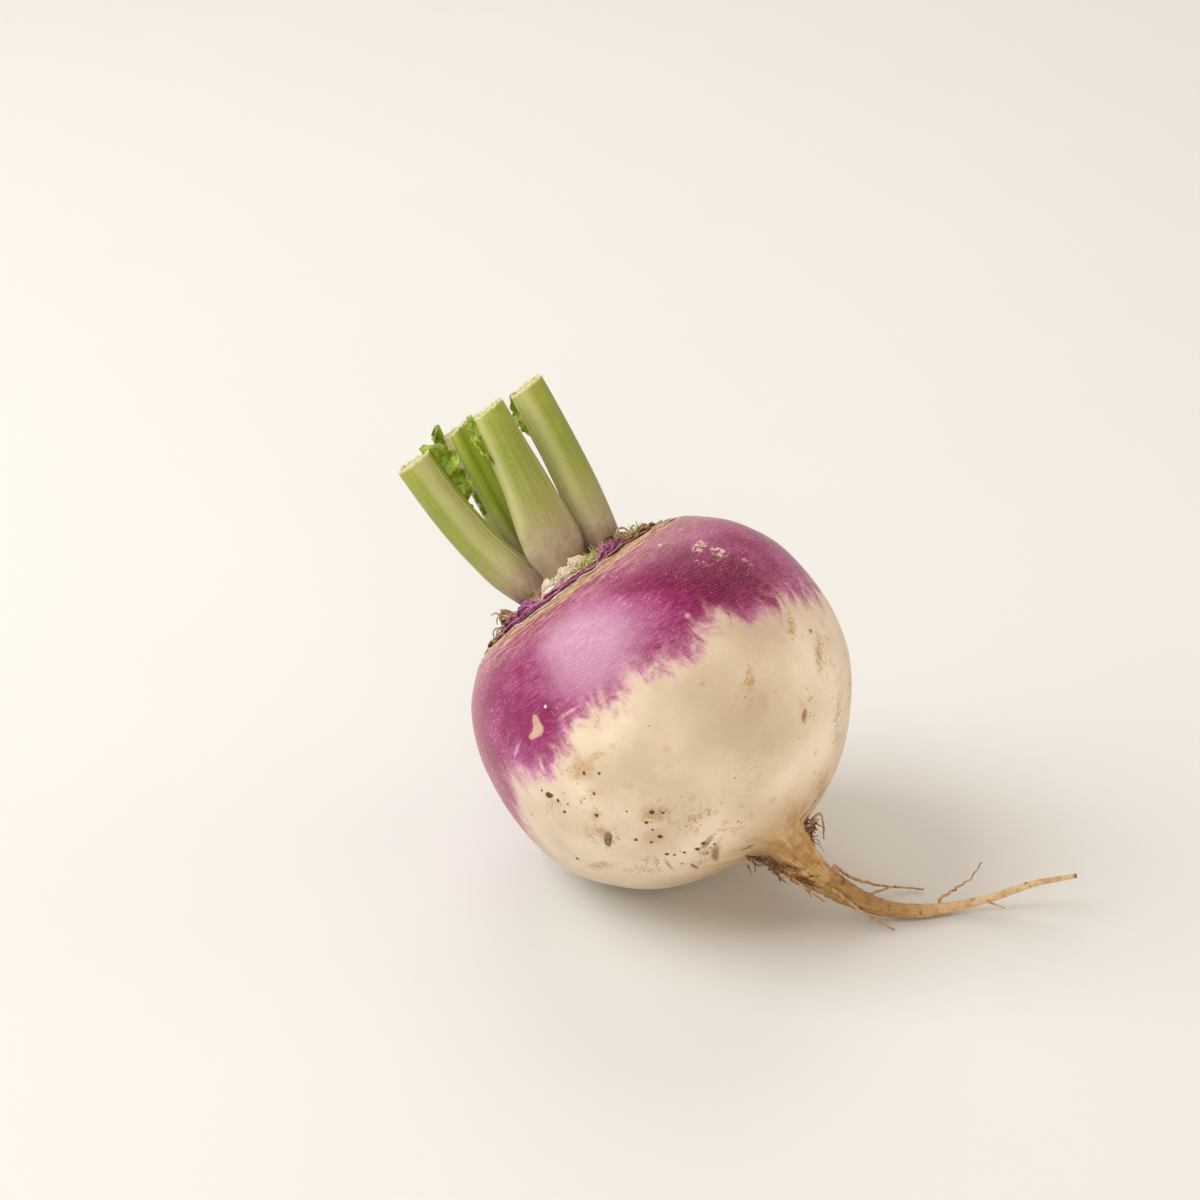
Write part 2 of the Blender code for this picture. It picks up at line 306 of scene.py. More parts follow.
def attribute(tree, name, output="Fac"):
    return results(tree, "Attribute", attribute_name=name)[output]


def millimetres(tree):
    # Object coordinates turned into the bulb's own frame, in millimetres
    inputs = {"Vector": results(tree, "TexCoord")["Object"], "Location": bulbMiddle,
        "Rotation": bulbTurn().to_euler(), "Scale": (mm, mm, mm)}
    return made("Mapping", inputs, vector_type="TEXTURE")


def newMaterial(name, specular=0.5):
    material = bpy.data.materials.new(name)
    material.use_nodes = True
    tree = material.node_tree
    tree.nodes["Principled BSDF"].inputs["Specular IOR Level"].default_value = specular
    return material, tree, millimetres(tree)


def giveFinish(material, colour, roughness, height, depth, strength=0.6):
    # depth is the height of the relief in millimetres
    tree = material.node_tree
    normal = made("Bump", {"Height": height, "Distance": depth * mm, "Strength": strength})
    for key, value in (("Base Color", colour), ("Roughness", roughness), ("Normal", normal)):
        tree.links.new(value.socket, tree.nodes["Principled BSDF"].inputs[key])
    return material


def newGroup(name, **inputs):
    tree = bpy.data.node_groups.new(name, "ShaderNodeTree")
    for label, kind in inputs.items():
        tree.interface.new_socket(name=label, in_out="INPUT", socket_type="NodeSocket" + kind)
    return tree, {socket.name: Value(socket) for socket in tree.nodes.new("NodeGroupInput").outputs}


def finishGroup(tree, **outputs):
    end = tree.nodes.new("NodeGroupOutput")
    for label, value in outputs.items():
        kind = "Vector" if value.socket.type == "VECTOR" else "Float"
        tree.interface.new_socket(name=label, in_out="OUTPUT", socket_type="NodeSocket" + kind)
        tree.links.new(value.socket, end.inputs[label])
    return tree


def useGroup(group, inputs):
    return made("Group", inputs, node_tree=group)


def makeSpecks():
    # Small irregular dots, some cells of a grid left empty
    tree, given = newGroup("specks", Vector="Vector", Scale="Float", Size="Float", Share="Float")
    warp = made("TexNoise", {"Vector": given["Vector"], "Scale": 3, "Detail": 2}, "Color")
    place = vectorCalc("ADD", given["Vector"], vectorCalc("MULTIPLY", warp, (0.35, 0.35, 0.35)))
    cells = results(tree, "TexVoronoi", {"Vector": place, "Scale": given["Scale"]})
    chance = results(tree, "SeparateColor", {"Color": cells["Color"]})
    dot = ranged(cells["Distance"] / (given["Size"] * (chance["Green"] + 0.25)), 1.15, 0.55)
    return finishGroup(tree, Mask=dot * calc("LESS_THAN", chance["Red"], given["Share"]))


def makeStreaks():
    # Long thin light and dark lines along the direction that the stretch makes short
    tree, given = newGroup("streaks", Vector="Vector", Stretch="Vector", Low="Float", High="Float")
    lines = clouds(vectorCalc("MULTIPLY", given["Vector"], given["Stretch"]), 1, 4, 0.65, 0.2)
    return finishGroup(tree, Mask=ranged(lines, given["Low"], given["High"]))


def makeAngles():
    # Turn round the crown axis and latitude, in degrees, and the distance from the axis
    tree, given = newGroup("bulbAngles", Place="Vector")
    parts = results(tree, "SeparateXYZ", {0: given["Place"]})
    turn = calc("DEGREES", calc("ARCTAN2", parts["Y"], parts["X"]))
    radius = calc("SQRT", parts["X"] * parts["X"] + parts["Y"] * parts["Y"])
    latitude = calc("DEGREES", calc("ARCTAN2", parts["Z"], radius))
    angles = made("CombineXYZ", {"X": turn, "Y": latitude})
    return finishGroup(tree, Turn=turn, Angles=angles, Radius=radius)


def makeMark():
    # One oval at a turn and a latitude; the caller has already made the angles ragged
    tree, given = newGroup("mark", Angles="Vector", Centre="Vector", Size="Vector", Lean="Float",
        Soft="Float")
    place = vectorCalc("SUBTRACT", given["Angles"], given["Centre"])
    turned = made("VectorRotate", {"Vector": place, "Angle": calc("RADIANS", given["Lean"])},
        rotation_type="Z_AXIS")
    flat = vectorCalc("MULTIPLY", vectorCalc("DIVIDE", turned, given["Size"]), (1, 1, 0))
    far = made("VectorMath", {0: flat}, "Value", operation="LENGTH")
    return finishGroup(tree, Mask=ranged(far, 1, 1 - given["Soft"]))


def raggedAngles(angles, scale, amount):
    # Angles shaken by noise, so that an oval drawn in them gets a ragged outline
    inputs = {"Vector": angles, "Scale": scale, "Detail": 4, "Roughness": 0.65}
    shift = vectorCalc("SUBTRACT", made("TexNoise", inputs, "Color"), (0.5, 0.5, 0.5))
    return vectorCalc("ADD", angles, vectorCalc("MULTIPLY", shift, (amount, amount, amount)))


specks = makeSpecks()
streaks = makeStreaks()
bulbAngles = makeAngles()
mark = makeMark()


def speckled(vector, scale, size, share):
    return useGroup(specks, {"Vector": vector, "Scale": scale, "Size": size, "Share": share})


def streaked(vector, stretch, low, high):
    return useGroup(streaks, {"Vector": vector, "Stretch": stretch, "Low": low, "High": high})


relief = {
    # papery ridges round the crown: level, half width, height
    "ridges": ((31.75, 0.16, 0.55), (31.15, 0.12, 0.3), (30.3, 0.16, 0.34), (29.2, 0.2, 0.1),
        (28, 0.25, 0.07), (32.5, 0.14, 0.3)),
    # cracks where the bulb turns into the tap root: turn and latitude of both ends, width, depth
    "cracks": ((79, -62, 66, -72, 0.5, 0.6), (70, -70, 48, -79, 0.5, 0.6), (-40, -60, -24, -67, 0.45, 0.45),
        (-26, -69, 0, -78, 0.5, 0.3), (-52, -50, -38, -56, 0.4, 0.3), (84, -55, 76, -66, 0.4, 0.4),
        (120, -68, 150, -74, 0.5, 0.5), (190, -66, 215, -72, 0.5, 0.5), (250, -70, 285, -66, 0.5, 0.5),
        (-34, -56, -20, -62, 0.4, 0.25), (-60, -57, -42, -66, 0.35, 0.3)),
    "folds": 11,  # lengthwise folds that run from the neck into the tap root
    # knots on the tap root: distance along it, angle round it, size, height
    "knots": ((12, 112, 2, 0.5), (18.5, 200, 1.6, 0.3), (31.5, 165, 1.1, 0.25), (37, 60, 1, 0.2),
        (44.3, 110, 1.2, 0.35), (50.5, 195, 0.9, 0.2), (56.8, 105, 1.5, 0.5), (57.6, 170, 1.1, 0.3),
        (63, -60, 0.9, 0.2)),
}


def bodyStations():
    # centre, direction, radius, level and step count of every station from crown to root tip
    axis = bulbFrame.to_3x3() @ Vector((0, 0, 1))
    stations = []
    for height, radius, lean, steps in bulb["stations"]:
        tip = Matrix.Rotation(radians(bulb["crownTip"]) * max(height / bulb["crownTop"], 0), 4, "Y")
        centre = bulbFrame @ tip @ (Vector((0, lean, height)) * mm)
        along = (bulbFrame @ tip).to_3x3() @ Vector((0, 0, -1))
        stations.append((centre, along, radius, height, steps))
    low = [(bulbFrame @ (Vector(p[:3]) * mm), p[3], p[4]) for p in bulb["neck"]]
    low += [(onGround(p[:3]), p[3], p[4]) for p in bulb["tapRoot"]]
    level = bulb["neck"][0][2]
    for index, (centre, radius, steps) in enumerate(low):
        ahead = low[min(index + 1, len(low) - 1)][0] - low[max(index - 1, 0)][0]
        along = (-axis).lerp(ahead.normalized(), min(index / 2, 1))
        if index:
            level -= (centre - low[index - 1][0]).length / mm
        stations.append((centre, along, radius, level, steps))
    return stations


def segmentDistance(turn, latitude, crack):
    startTurn, startLatitude, endTurn, endLatitude = crack[:4]
    shrink = cos(radians((startLatitude + endLatitude) / 2))
    wrapped = (turn - startTurn + 180) % 360 - 180
    point = Vector((wrapped * shrink, latitude - startLatitude))
    line = Vector(((endTurn - startTurn) * shrink, endLatitude - startLatitude))
    share = min(max(point.dot(line) / line.length_squared, 0), 1)
    return (point - line * share).length, share


def bodyOffset(spot, level, angle, radius):
    # Outward move in millimetres, and how much of a papery ridge and of a crack is here
    way = atan2(spot.y, spot.x)
    turn = degrees(way)
    latitude = degrees(atan2(spot.z, hypot(spot.x, spot.y)))
    offset = sum(noise.noise(spot * rate) * height for rate, height in bulb["lumps"])
    offset *= smoothStep(-40, -34, level)
    ridge = 0
    if level > 26:
        rim = smoothStep(34.5, 33, level)
        for at, width, height in relief["ridges"]:
            place = at + 0.5 * ripple(cos(way) * 2.2, sin(way) * 2.2, at)
            broken = smoothStep(-0.45, 0.3, noise.noise(spot * 0.25 + Vector((0, 0, at * 3))))
            ragged = 0.65 + 0.7 * abs(noise.noise(spot * 1.1))
            one = hump(level, place, width) * broken * ragged
            ridge += one * height / 0.4
            offset += one * height
        offset += 0.45 * noise.noise(spot * 0.55) * smoothStep(31.8, 33.2, level) * rim
        offset += 0.9 * noise.noise(spot * 0.4) * smoothStep(34.5, 35.8, level)
    crack = 0
    if -48 < level < -20:
        for one in relief["cracks"]:
            far, share = segmentDistance(turn, latitude, one)
            wander = 1.2 * noise.noise(spot * 0.35 + Vector((one[0], 0, 0)))
            taper = smoothStep(0, 0.2, share) * smoothStep(1, 0.8, share)
            patchy = smoothStep(-0.35, 0.15, noise.noise(spot * 0.8 + Vector((one[1], 0, 0))))
            depth = hump(far + wander, 0, one[4]) * taper * patchy
            crack = max(crack, depth)
            offset -= depth * one[5]
    if level < -34:
        onRoot = smoothStep(-36, -43, level)
        fold = sin(relief["folds"] * angle + 2.2 * ripple(level * 0.07, angle, 3))
        rough = ripple(cos(angle) * 1.2, sin(angle) * 1.2, level * 0.85)
        fine = ripple(cos(angle) * 2.5, sin(angle) * 2.5, level * 2.6)
        size = min(radius / 5, 1.2)
        offset += onRoot * size * (0.22 * fold + 0.5 * rough + 0.22 * fine - 0.28)
        along = -level - 45.3
        for at, knotAngle, width, height in relief["knots"]:
            gap = (angle - radians(knotAngle) + pi) % (2 * pi) - pi
            knot = hump(along, at, width / 2.6) * (0.05 + 0.95 * hump(gap, 0, 0.42))
            offset += height * knot
            ridge = max(ridge, knot)
    return offset, ridge, crack


def buildBody(material):
    bm, layers = newMesh()
    stations = bodyStations()
    rows = [(*s[0], *s[1], s[2], s[3]) for s in stations]
    curve = through(rows, [s[4] for s in stations[:-1]])
    up = Vector((0, 0, 1))
    rings = []
    for row in curve:
        size = max(row[6], 0.3) * mm
        rings.append(ringPlace(Vector(row[0:3]), Vector(row[3:6]), up, size, size))
    ringVerts = loft(bm, rings, bulb["sides"])
    back = bulbFrame.inverted()
    top = bulb["stations"][8][0] * mm
    bottom = bulb["stations"][-1][0] * mm

    def section(index, angle, vert):
        level = curve[index][7]
        local = back @ vert.co
        offset, ridge, crack = bodyOffset(local / mm, level, angle, curve[index][6])
        vert[layers["level"]] = level
        vert[layers["edge"]] = ridge
        vert[layers["share"]] = crack
        vert[layers["place"]] = (cos(angle), sin(angle), level)
        spread = 1 + offset / max(curve[index][6], 0.4)
        return Vector((cos(angle) * spread, sin(angle) * spread, 0))

    shapeRings(rings, ringVerts, section)
    for vert in bm.verts:
        local = back @ vert.co
        if bottom < local.z < top:
            turn = atan2(local.y, local.x)
            swell = sin(pi * (local.z - bottom) / (top - bottom))
            wave = sum(height * sin(count * turn + phase) for count, height, phase in bulb["waves"])
            local.xy = local.xy * (1 + wave * swell)
            vert.co = bulbFrame @ local
        vert.co.z = max(vert.co.z, restSpot.z + 0.00002)
    return finishPiece(bm, "turnipBody", material, ["turnip_root"])


skin = {
    # edge of the purple: turn round the crown axis, height along it
    "edge": ((-180, 1), (-150, -2), (-122, -5), (-100, -9), (-88, -8.5), (-78, -6), (-70, -3), (-63, 0),
        (-57, 1.5), (-51, -0.4), (-46, -2), (-40, -3), (-35, -1.6), (-30, -0.6), (-23, 1.8), (-16, 0.6),
        (-8, -0.8), (0, 1.4), (8, -2), (17, 0), (26, 1.6), (36, -2.2), (46, -4), (51, -1.5), (60, -3.4),
        (74, -4), (96, -1), (122, 2), (150, -1), (180, 1)),
    "edgeReach": 20,
    "purple": ((0.2, (0.155, 0.002, 0.045)), (0.4, (0.255, 0.016, 0.102)), (0.58, (0.39, 0.085, 0.235)),
        (0.8, (0.6, 0.25, 0.45))),
    "cream": ((0.16, (0.52, 0.42, 0.29)), (0.38, (0.6, 0.49, 0.35)), (0.6, (0.74, 0.625, 0.47)),
        (0.92, (0.91, 0.81, 0.65))),
    "collar": ((0.32, (0.11, 0.025, 0.035)), (0.46, (0.28, 0.1, 0.1)), (0.58, (0.48, 0.29, 0.19)),
        (0.72, (0.66, 0.5, 0.34))),
    "crownTop": ((0.35, (0.06, 0.05, 0.012)), (0.6, (0.32, 0.3, 0.11))),
    "paper": ((0.42, (0.34, 0.15, 0.12)), (0.52, (0.56, 0.36, 0.23)), (0.62, (0.72, 0.54, 0.37))),
    "dusty": (0.34, 0.15, 0.15),
    "tan": (0.47, 0.27, 0.1),
    "paleTan": (0.67, 0.45, 0.215),
    "dark": (0.07, 0.028, 0.01),
    # broad areas: turn, latitude, half width, half height, lean, change of tone; among the purple ones
    # those at turn -6 and -4 are a painted highlight and the one at turn -72 is painted light on the lower
    # left, the rest are the skin's own deeper and paler tone
    "purpleToneAndPaintedLight": ((34, 17, 34, 20, 20, -0.22), (-34, 13, 17, 13, 0, -0.12), (-6, 11, 26, 12, 0, 0.08),
        (-4, 26, 26, 15, 0, 0.06), (-52, 4, 9, 9, 0, 0.1), (-72, -6, 12, 10, 0, 0.12),
        (-76, 14, 20, 22, 0, -0.13), (128, 20, 38, 18, 0, -0.16), (-128, 18, 34, 16, 0, -0.12)),
    # painted highlight: a lilac wash on the purple where the key light's broad highlight falls, in the same
    # columns
    "paintedHighlightAreas": ((-8, 16, 27, 19, 0, 1), (-14, 28, 20, 12, 0, 0.5)),
    # cream areas: the one at turn 12 is partly the skin's own beige and partly painted shade, the one at
    # turn 36 is painted shade, the one at turn 58 is partly painted light from the right, and the two low
    # ones at latitude -58 and -52 are painted light thrown up from the floor
    "creamToneAndPaintedLight": ((12, -20, 34, 22, 20, -0.24), (58, -26, 30, 30, 0, 0.2), (-22, -17, 16, 13, 0, -0.22),
        (36, -4, 20, 12, 0, -0.28), (-50, -32, 26, 18, 0, 0.14), (-30, -58, 40, 20, 0, 0.26),
        (40, -52, 34, 18, 0, 0.26), (150, -20, 50, 30, 0, 0.1)),
    # where soil clings: turn, latitude, half width, half height, lean, strength
    "soilAreas": ((-24, -33, 11, 8, 10, 0.95), (-46, -27, 10, 10, 20, 0.8), (-33, -8, 10, 6, 0, 0.6),
        (-51, -11, 8, 6, 0, 0.7), (-17, -43, 16, 6, 0, 0.9), (-52, -45, 15, 8, 0, 0.85),
        (-32, -57, 22, 7, -10, 1), (-40, -18, 8, 7, 0, 0.6), (-8, -55, 18, 8, 0, 0.6),
        (49, -10, 6, 8, 30, 0.6), (57, -21, 8, 11, 20, 0.75), (44, -31, 8, 8, 0, 0.55),
        (65, -42, 10, 17, 0, 0.85), (25, -17, 4, 8, 30, 0.6), (58, -62, 18, 10, 0, 0.8),
        (14, -42, 14, 10, 0, 0.3), (80, -30, 8, 24, 0, 0.6), (150, -25, 24, 18, 0, 0.8),
        (-120, -38, 22, 16, 0, 0.8), (-165, -20, 16, 12, 0, 0.7), (120, -52, 24, 12, 0, 0.8)),
    # specks of soil: turn, latitude, size
    "dots": ((-46.9, -10.7, 0.8), (-48.4, -14.3, 0.8), (-49.5, -5.4, 0.6), (-44.7, -13.4, 0.5),
        (-31.8, -9.9, 0.8), (-27.9, -12.7, 0.6), (-34.1, -16.1, 0.7), (-39.6, -21.2, 0.9),
        (-25.2, -31.2, 1.2), (-29.8, -32.6, 0.9), (-22.8, -33.6, 0.8), (-32, -39.3, 1.2),
        (-36.5, -38.9, 0.8), (-39, -34.9, 0.9), (-39.3, -46.1, 1.1), (-38.3, -48.2, 0.8),
        (-34.7, -50.1, 0.9), (-29.8, -52.6, 1.4), (-25.1, -52.2, 1.2), (-22.8, -55.9, 1),
        (-66.1, -26.3, 0.9), (-30.7, -26, 0.5), (-31, -35.9, 0.6), (-64, -8, 0.5),
        (170, -8, 1.4), (150, -32, 1), (-130, -22, 1.1)),
    # marks: turn, latitude, half width, half height, lean, raggedness (0 to 2), softness, how
    # broken, strength, colour
    "marks": (
        (-48.3, -7.8, 1.8, 1.2, 30, 1, 0.3, 0, 1, (0.12, 0.048, 0.014)),
        (-45.6, -28.9, 4.9, 1.5, -25, 1, 0.4, 0.25, 1, (0.13, 0.052, 0.016)),
        (-44, -26.5, 5, 2.6, -25, 2, 0.9, 0, 0.55, (0.38, 0.2, 0.075)),
        (-39.6, -21.2, 3.4, 3, 0, 2, 0.9, 0, 0.45, (0.46, 0.27, 0.12)),
        (-25, -32, 8, 5.5, 20, 2, 0.9, 0, 0.6, (0.48, 0.29, 0.13)),
        (-33.4, -38, 8, 4.5, 0, 2, 0.9, 0.2, 0.55, (0.48, 0.29, 0.13)),
        (-31.5, -8.5, 6, 4.6, 10, 2, 0.8, 0.35, 0.75, (0.47, 0.27, 0.11)),
        (-25, -8.5, 4.6, 2, 10, 2, 0.8, 0.4, 0.65, (0.47, 0.27, 0.11)),
        (-34.1, -16.1, 4.2, 2.2, 0, 2, 0.9, 0.3, 0.5, (0.5, 0.31, 0.14)),
        (-24, -20.2, 2.4, 1.6, 0, 2, 0.9, 0.3, 0.5, (0.5, 0.31, 0.14)),
        (-45.9, -58.5, 5.5, 1.1, -35, 1, 0.5, 0.3, 0.9, (0.14, 0.055, 0.018)),
        (-64, -33, 9, 3, 30, 2, 0.9, 0.45, 0.7, (0.4, 0.22, 0.09)),
        (25, -16, 1.7, 5.4, 36, 2, 0.6, 0.6, 0.85, (0.46, 0.26, 0.1)),
        (40.5, -34.5, 1.5, 2.5, 36, 1, 0.3, 0, 0.9, (0.26, 0.12, 0.045)),
        (40.2, -34.3, 0.5, 1.2, 36, 1, 0.3, 0, 0.9, (0.07, 0.03, 0.014)),
        (40.5, -34.5, 3.4, 4.4, 36, 1, 0.7, 0, 0.4, (0.58, 0.38, 0.2)),
        (48.5, -9, 1.9, 4.8, 36, 2, 0.6, 0.7, 0.85, (0.46, 0.26, 0.11)),
        (56, -13, 1.4, 1, 20, 1, 0.6, 0, 0.8, (0.3, 0.15, 0.06)),
        (55, -21, 2.6, 7.5, 36, 2, 0.7, 0.7, 0.8, (0.48, 0.29, 0.13)),
        (12, -10, 1.2, 0.8, 0, 1, 0.6, 0, 0.6, (0.5, 0.3, 0.14)),
        (-35.4, 9.8, 1.7, 3.2, 21, 1, 0.25, 0.12, 0.95, (0.58, 0.36, 0.27)),
        (-36.2, 8.2, 2.6, 1.9, 0, 1, 0.25, 0.12, 0.95, (0.6, 0.38, 0.28)),
        (-38.4, 8, 2.8, 1.1, 0, 1, 0.25, 0.12, 0.95, (0.62, 0.4, 0.3)),
        (-48.6, 8.3, 4.6, 0.9, -18, 1, 0.9, 0.2, 0.6, (0.74, 0.5, 0.56)),
        (-24.3, 6.1, 6.2, 0.8, 7, 1, 0.9, 0.4, 0.65, (0.74, 0.52, 0.52)),
        (41, 25, 5, 2.6, -20, 1, 0.5, 1, 0.95, (0.66, 0.5, 0.36)),
        (44, 20, 3.4, 3.2, 25, 1, 0.5, 1, 0.95, (0.7, 0.54, 0.4)),
        (35.5, 19.5, 2.4, 1.2, 60, 1, 0.5, 1, 0.8, (0.64, 0.46, 0.36)),
        (49, 13, 2.6, 1.4, 60, 1, 0.5, 1, 0.6, (0.66, 0.46, 0.42)),
        (33, 34, 1, 0.8, 0, 0, 0.5, 0, 0.85, (0.68, 0.52, 0.38)),
        (20, 8, 1.3, 1.1, 0, 0, 0.8, 0, 0.55, (0.72, 0.48, 0.5)),
        (-29.5, 11.9, 0.7, 0.6, 0, 0, 0.4, 0, 0.85, (0.8, 0.66, 0.64)),
        (-31, -61, 15, 2.2, -25, 1, 0.7, 0.3, 0.85, (0.15, 0.055, 0.016)),
        (-47, -50, 8, 1, -35, 1, 0.8, 0.3, 0.7, (0.24, 0.11, 0.04)),
        (-24, -53, 8, 1.6, -10, 1, 0.7, 0.3, 0.8, (0.17, 0.065, 0.02)),
        (150, -20, 8, 5, 20, 2, 0.9, 0.3, 0.6, (0.42, 0.25, 0.11)),
        (-140, -30, 7, 6, -20, 2, 0.9, 0.3, 0.6, (0.42, 0.25, 0.11)),
        (120, 18, 4, 1.2, 30, 1, 0.4, 0.7, 0.9, (0.62, 0.45, 0.3)),
        (-125, 14, 2, 2.4, 30, 1, 0.3, 0, 0.9, (0.6, 0.38, 0.24)),
    ),
}


def areaSum(angles, areas):
    # Adds up soft ovals, each with its own strength
    total = 0
    for turn, latitude, wide, high, lean, strength in areas:
        one = useGroup(mark, {"Angles": angles, "Centre": (turn, latitude, 0), "Size": (wide, high, 1),
            "Lean": lean, "Soft": 0.95})
        total = one * strength + total
    return total


def purpleMask(turn, level, place):
    # 1 on the purple side of a wandering, feathered edge
    node = addNode(turn.socket.id_data, "FloatCurve", {"Value": ranged(turn, -180, 180, shape="LINEAR")})
    points = node.mapping.curves[0].points
    reach = skin["edgeReach"]
    for turnAt, height in skin["edge"][1:-1]:
        points.new((turnAt + 180) / 360, 0.5 + height / (2 * reach))
    for point, height in ((points[0], skin["edge"][0][1]), (points[-1], skin["edge"][-1][1])):
        point.location.y = 0.5 + height / (2 * reach)
    node.mapping.update()
    height = ranged(Value(node.outputs[0]), 0, 1, -reach, reach, shape="LINEAR")
    tongues = clouds(vectorCalc("MULTIPLY", place, (1, 1, 0.6)), 0.24, 4, 0.62, 0.8)
    tufts = clouds(vectorCalc("MULTIPLY", place, (1, 1, 0.7)), 0.7, 5, 0.7, 1.4)
    height += ranged(tongues, 0.3, 0.7, -2.6, 2.6) + ranged(tufts, 0.3, 0.7, -0.9, 0.9)
    above = level - height
    sharp = ranged(above, -2.2, 3.4)
    wash = ranged(above, -6, 8)
    crisp = ranged(clouds(place, 0.13, 2), 0.4, 0.6, 0.25, 0.75)
    return (sharp * crisp + wash * (1 - crisp), above)


def skinMaterial():
    material, tree, place = newMaterial("turnipSkin", 0.32)
    level, edge, share = [attribute(tree, name) for name in ("level", "edge", "share")]
    turn, angles, radius = results(tree, "Group", {0: place}, node_tree=bulbAngles).values()
    ragged = (angles, raggedAngles(angles, 1.5, 1.3), raggedAngles(angles, 0.4, 6))
    fine = clouds(place, 2.4, 3, 0.7)
    sides = results(tree, "SeparateXYZ", {0: place})

    def ringLines(across, along, detail, rough, distortion, radial=False):
        # noise drawn out round the crown axis: cycles per millimetre round it and along it
        height = radius if radial else level
        parts = {"X": sides["X"] * across, "Y": sides["Y"] * across, "Z": height * along}
        return clouds(made("CombineXYZ", parts), 1, detail, rough, distortion)

    # purple half: broad clouds, short crackle lines round the crown, pale dots and flecks, a painted lilac
    # highlight and some painted light in the tone areas
    lines = ranged(ringLines(0.4, 2.2, 3, 0.6, 0.8), 0.42, 0.7)
    mask, above = purpleMask(turn, level, place)
    # the purple tone holds a painted highlight and painted light on the lower left besides the skin's own
    # tone
    tone = clouds(place, 0.085, 4, 0.55, 0.4) * 0.75 + 0.08 + areaSum(ragged[2], skin["purpleToneAndPaintedLight"])
    tone += (fine - 0.5) * 0.2 + (lines - 0.4) * 0.15 + ranged(above, 7, -2, 0, 0.24)
    # painted highlight: the lilac wash laid over the purple
    paintedHighlight = areaSum(ragged[2], skin["paintedHighlightAreas"])
    farLeft = ranged(turn, -165, -120)
    dotChance = ranged(clouds(place, 0.14, 2), 0.4, 0.65, 0.15, 0.55)
    lightDots = calc("MAXIMUM", speckled(place, 1.5, 0.2, dotChance), speckled(place, 0.5, 0.14, 0.22))
    flecks = ranged(ringLines(0.8, 2.6, 2, 0.5, 0.4), 0.66, 0.74)
    fleckShown = calc("MAXIMUM", ranged(ranged(turn, -36, -66) * farLeft, 0, 1, 0.12, 0.9),
        ranged(level, 20, 29, 0.05, 0.7))
    lightDots = calc("MAXIMUM", lightDots * 0.55, flecks * fleckShown)
    fringe = ringLines(0.22, 4.2, 4, 0.65, 0.5)
    dusted = ranged(level, 21, 31) * ranged(fine, 0.3, 0.62, 0.25, 0.8)
    onRight = ranged(turn, -20, 60) * ranged(turn, 170, 120)
    purple = layered(ramp(tone, skin["purple"]), (
        (ranged(paintedHighlight, 0, 1, 0, 0.85), (0.52, 0.27, 0.4)),
        (ranged(turn, -48, -78) * farLeft * 0.6, (0.43, 0.095, 0.15)),
        (lightDots, (0.72, 0.46, 0.44)),
        (ranged(fringe, 0.5, 0.6) * ranged(level, 23.5, 30.5) * 0.85, (0.6, 0.36, 0.3)),
        (dusted * ranged(onRight, 0, 1, 0.45, 1), skin["dusty"])))

    # cream half: soft clouds, faint veins, dark dots and tan haloes where soil stuck, with painted light at
    # the bottom and on the right and painted shade in the middle
    # the cream tone holds painted light and painted shade besides the skin's own tone
    tone = clouds(place, 0.1, 4, 0.5) * 0.55 + 0.24 + areaSum(ragged[2], skin["creamToneAndPaintedLight"])
    tone += (fine - 0.5) * 0.08
    onCream = ranged(above, 1, -4)
    soil = (areaSum(ragged[2], skin["soilAreas"]) + 0.03) * onCream
    cream = layered(ramp(tone, skin["cream"]), (
        (streaked(angles, (0.5, 0.08, 1), 0.5, 0.75) * 0.12, (0.58, 0.42, 0.25)),
        (ranged(level, -31, -41) * 0.6, (0.54, 0.34, 0.16)),
        (speckled(place, 0.62, 0.75, soil * 0.55) * 0.4, (0.56, 0.37, 0.19)),
        (ranged(clouds(place, 0.45, 4, 0.65), 0.5, 0.68) * soil * 0.75, (0.53, 0.33, 0.15))))
    clumps = ranged(clouds(place, 0.75, 6, 0.78) + soil * 0.09, 0.64, 0.69)
    crumbs = ranged(clouds(place, 2, 5, 0.75) + soil * 0.1, 0.66, 0.71)
    darkDots = calc("MAXIMUM", clumps * 0.85, crumbs * 0.75) * ranged(soil, 0.05, 0.4)
    darkDots = calc("MAXIMUM", darkDots, speckled(place, 1.35, 0.27, soil * 0.65) * 0.85)

    # neck and tap root: tan with lengthwise fibres and cross wrinkles; the creases are painted dark as
    # painted shade, the middle is browner and painted darker as painted shade, and the tip end is paler and
    # painted lighter as painted light
    rootPlace = attribute(tree, "ringPlace", "Vector")
    fibres = streaked(rootPlace, (3.2, 3.2, 0.16), 0.38, 0.68)
    # painted shade in the creases, which the bump also sinks
    creasesAndShade = streaked(rootPlace, (0.8, 0.8, 1.9), 0.54, 0.7)
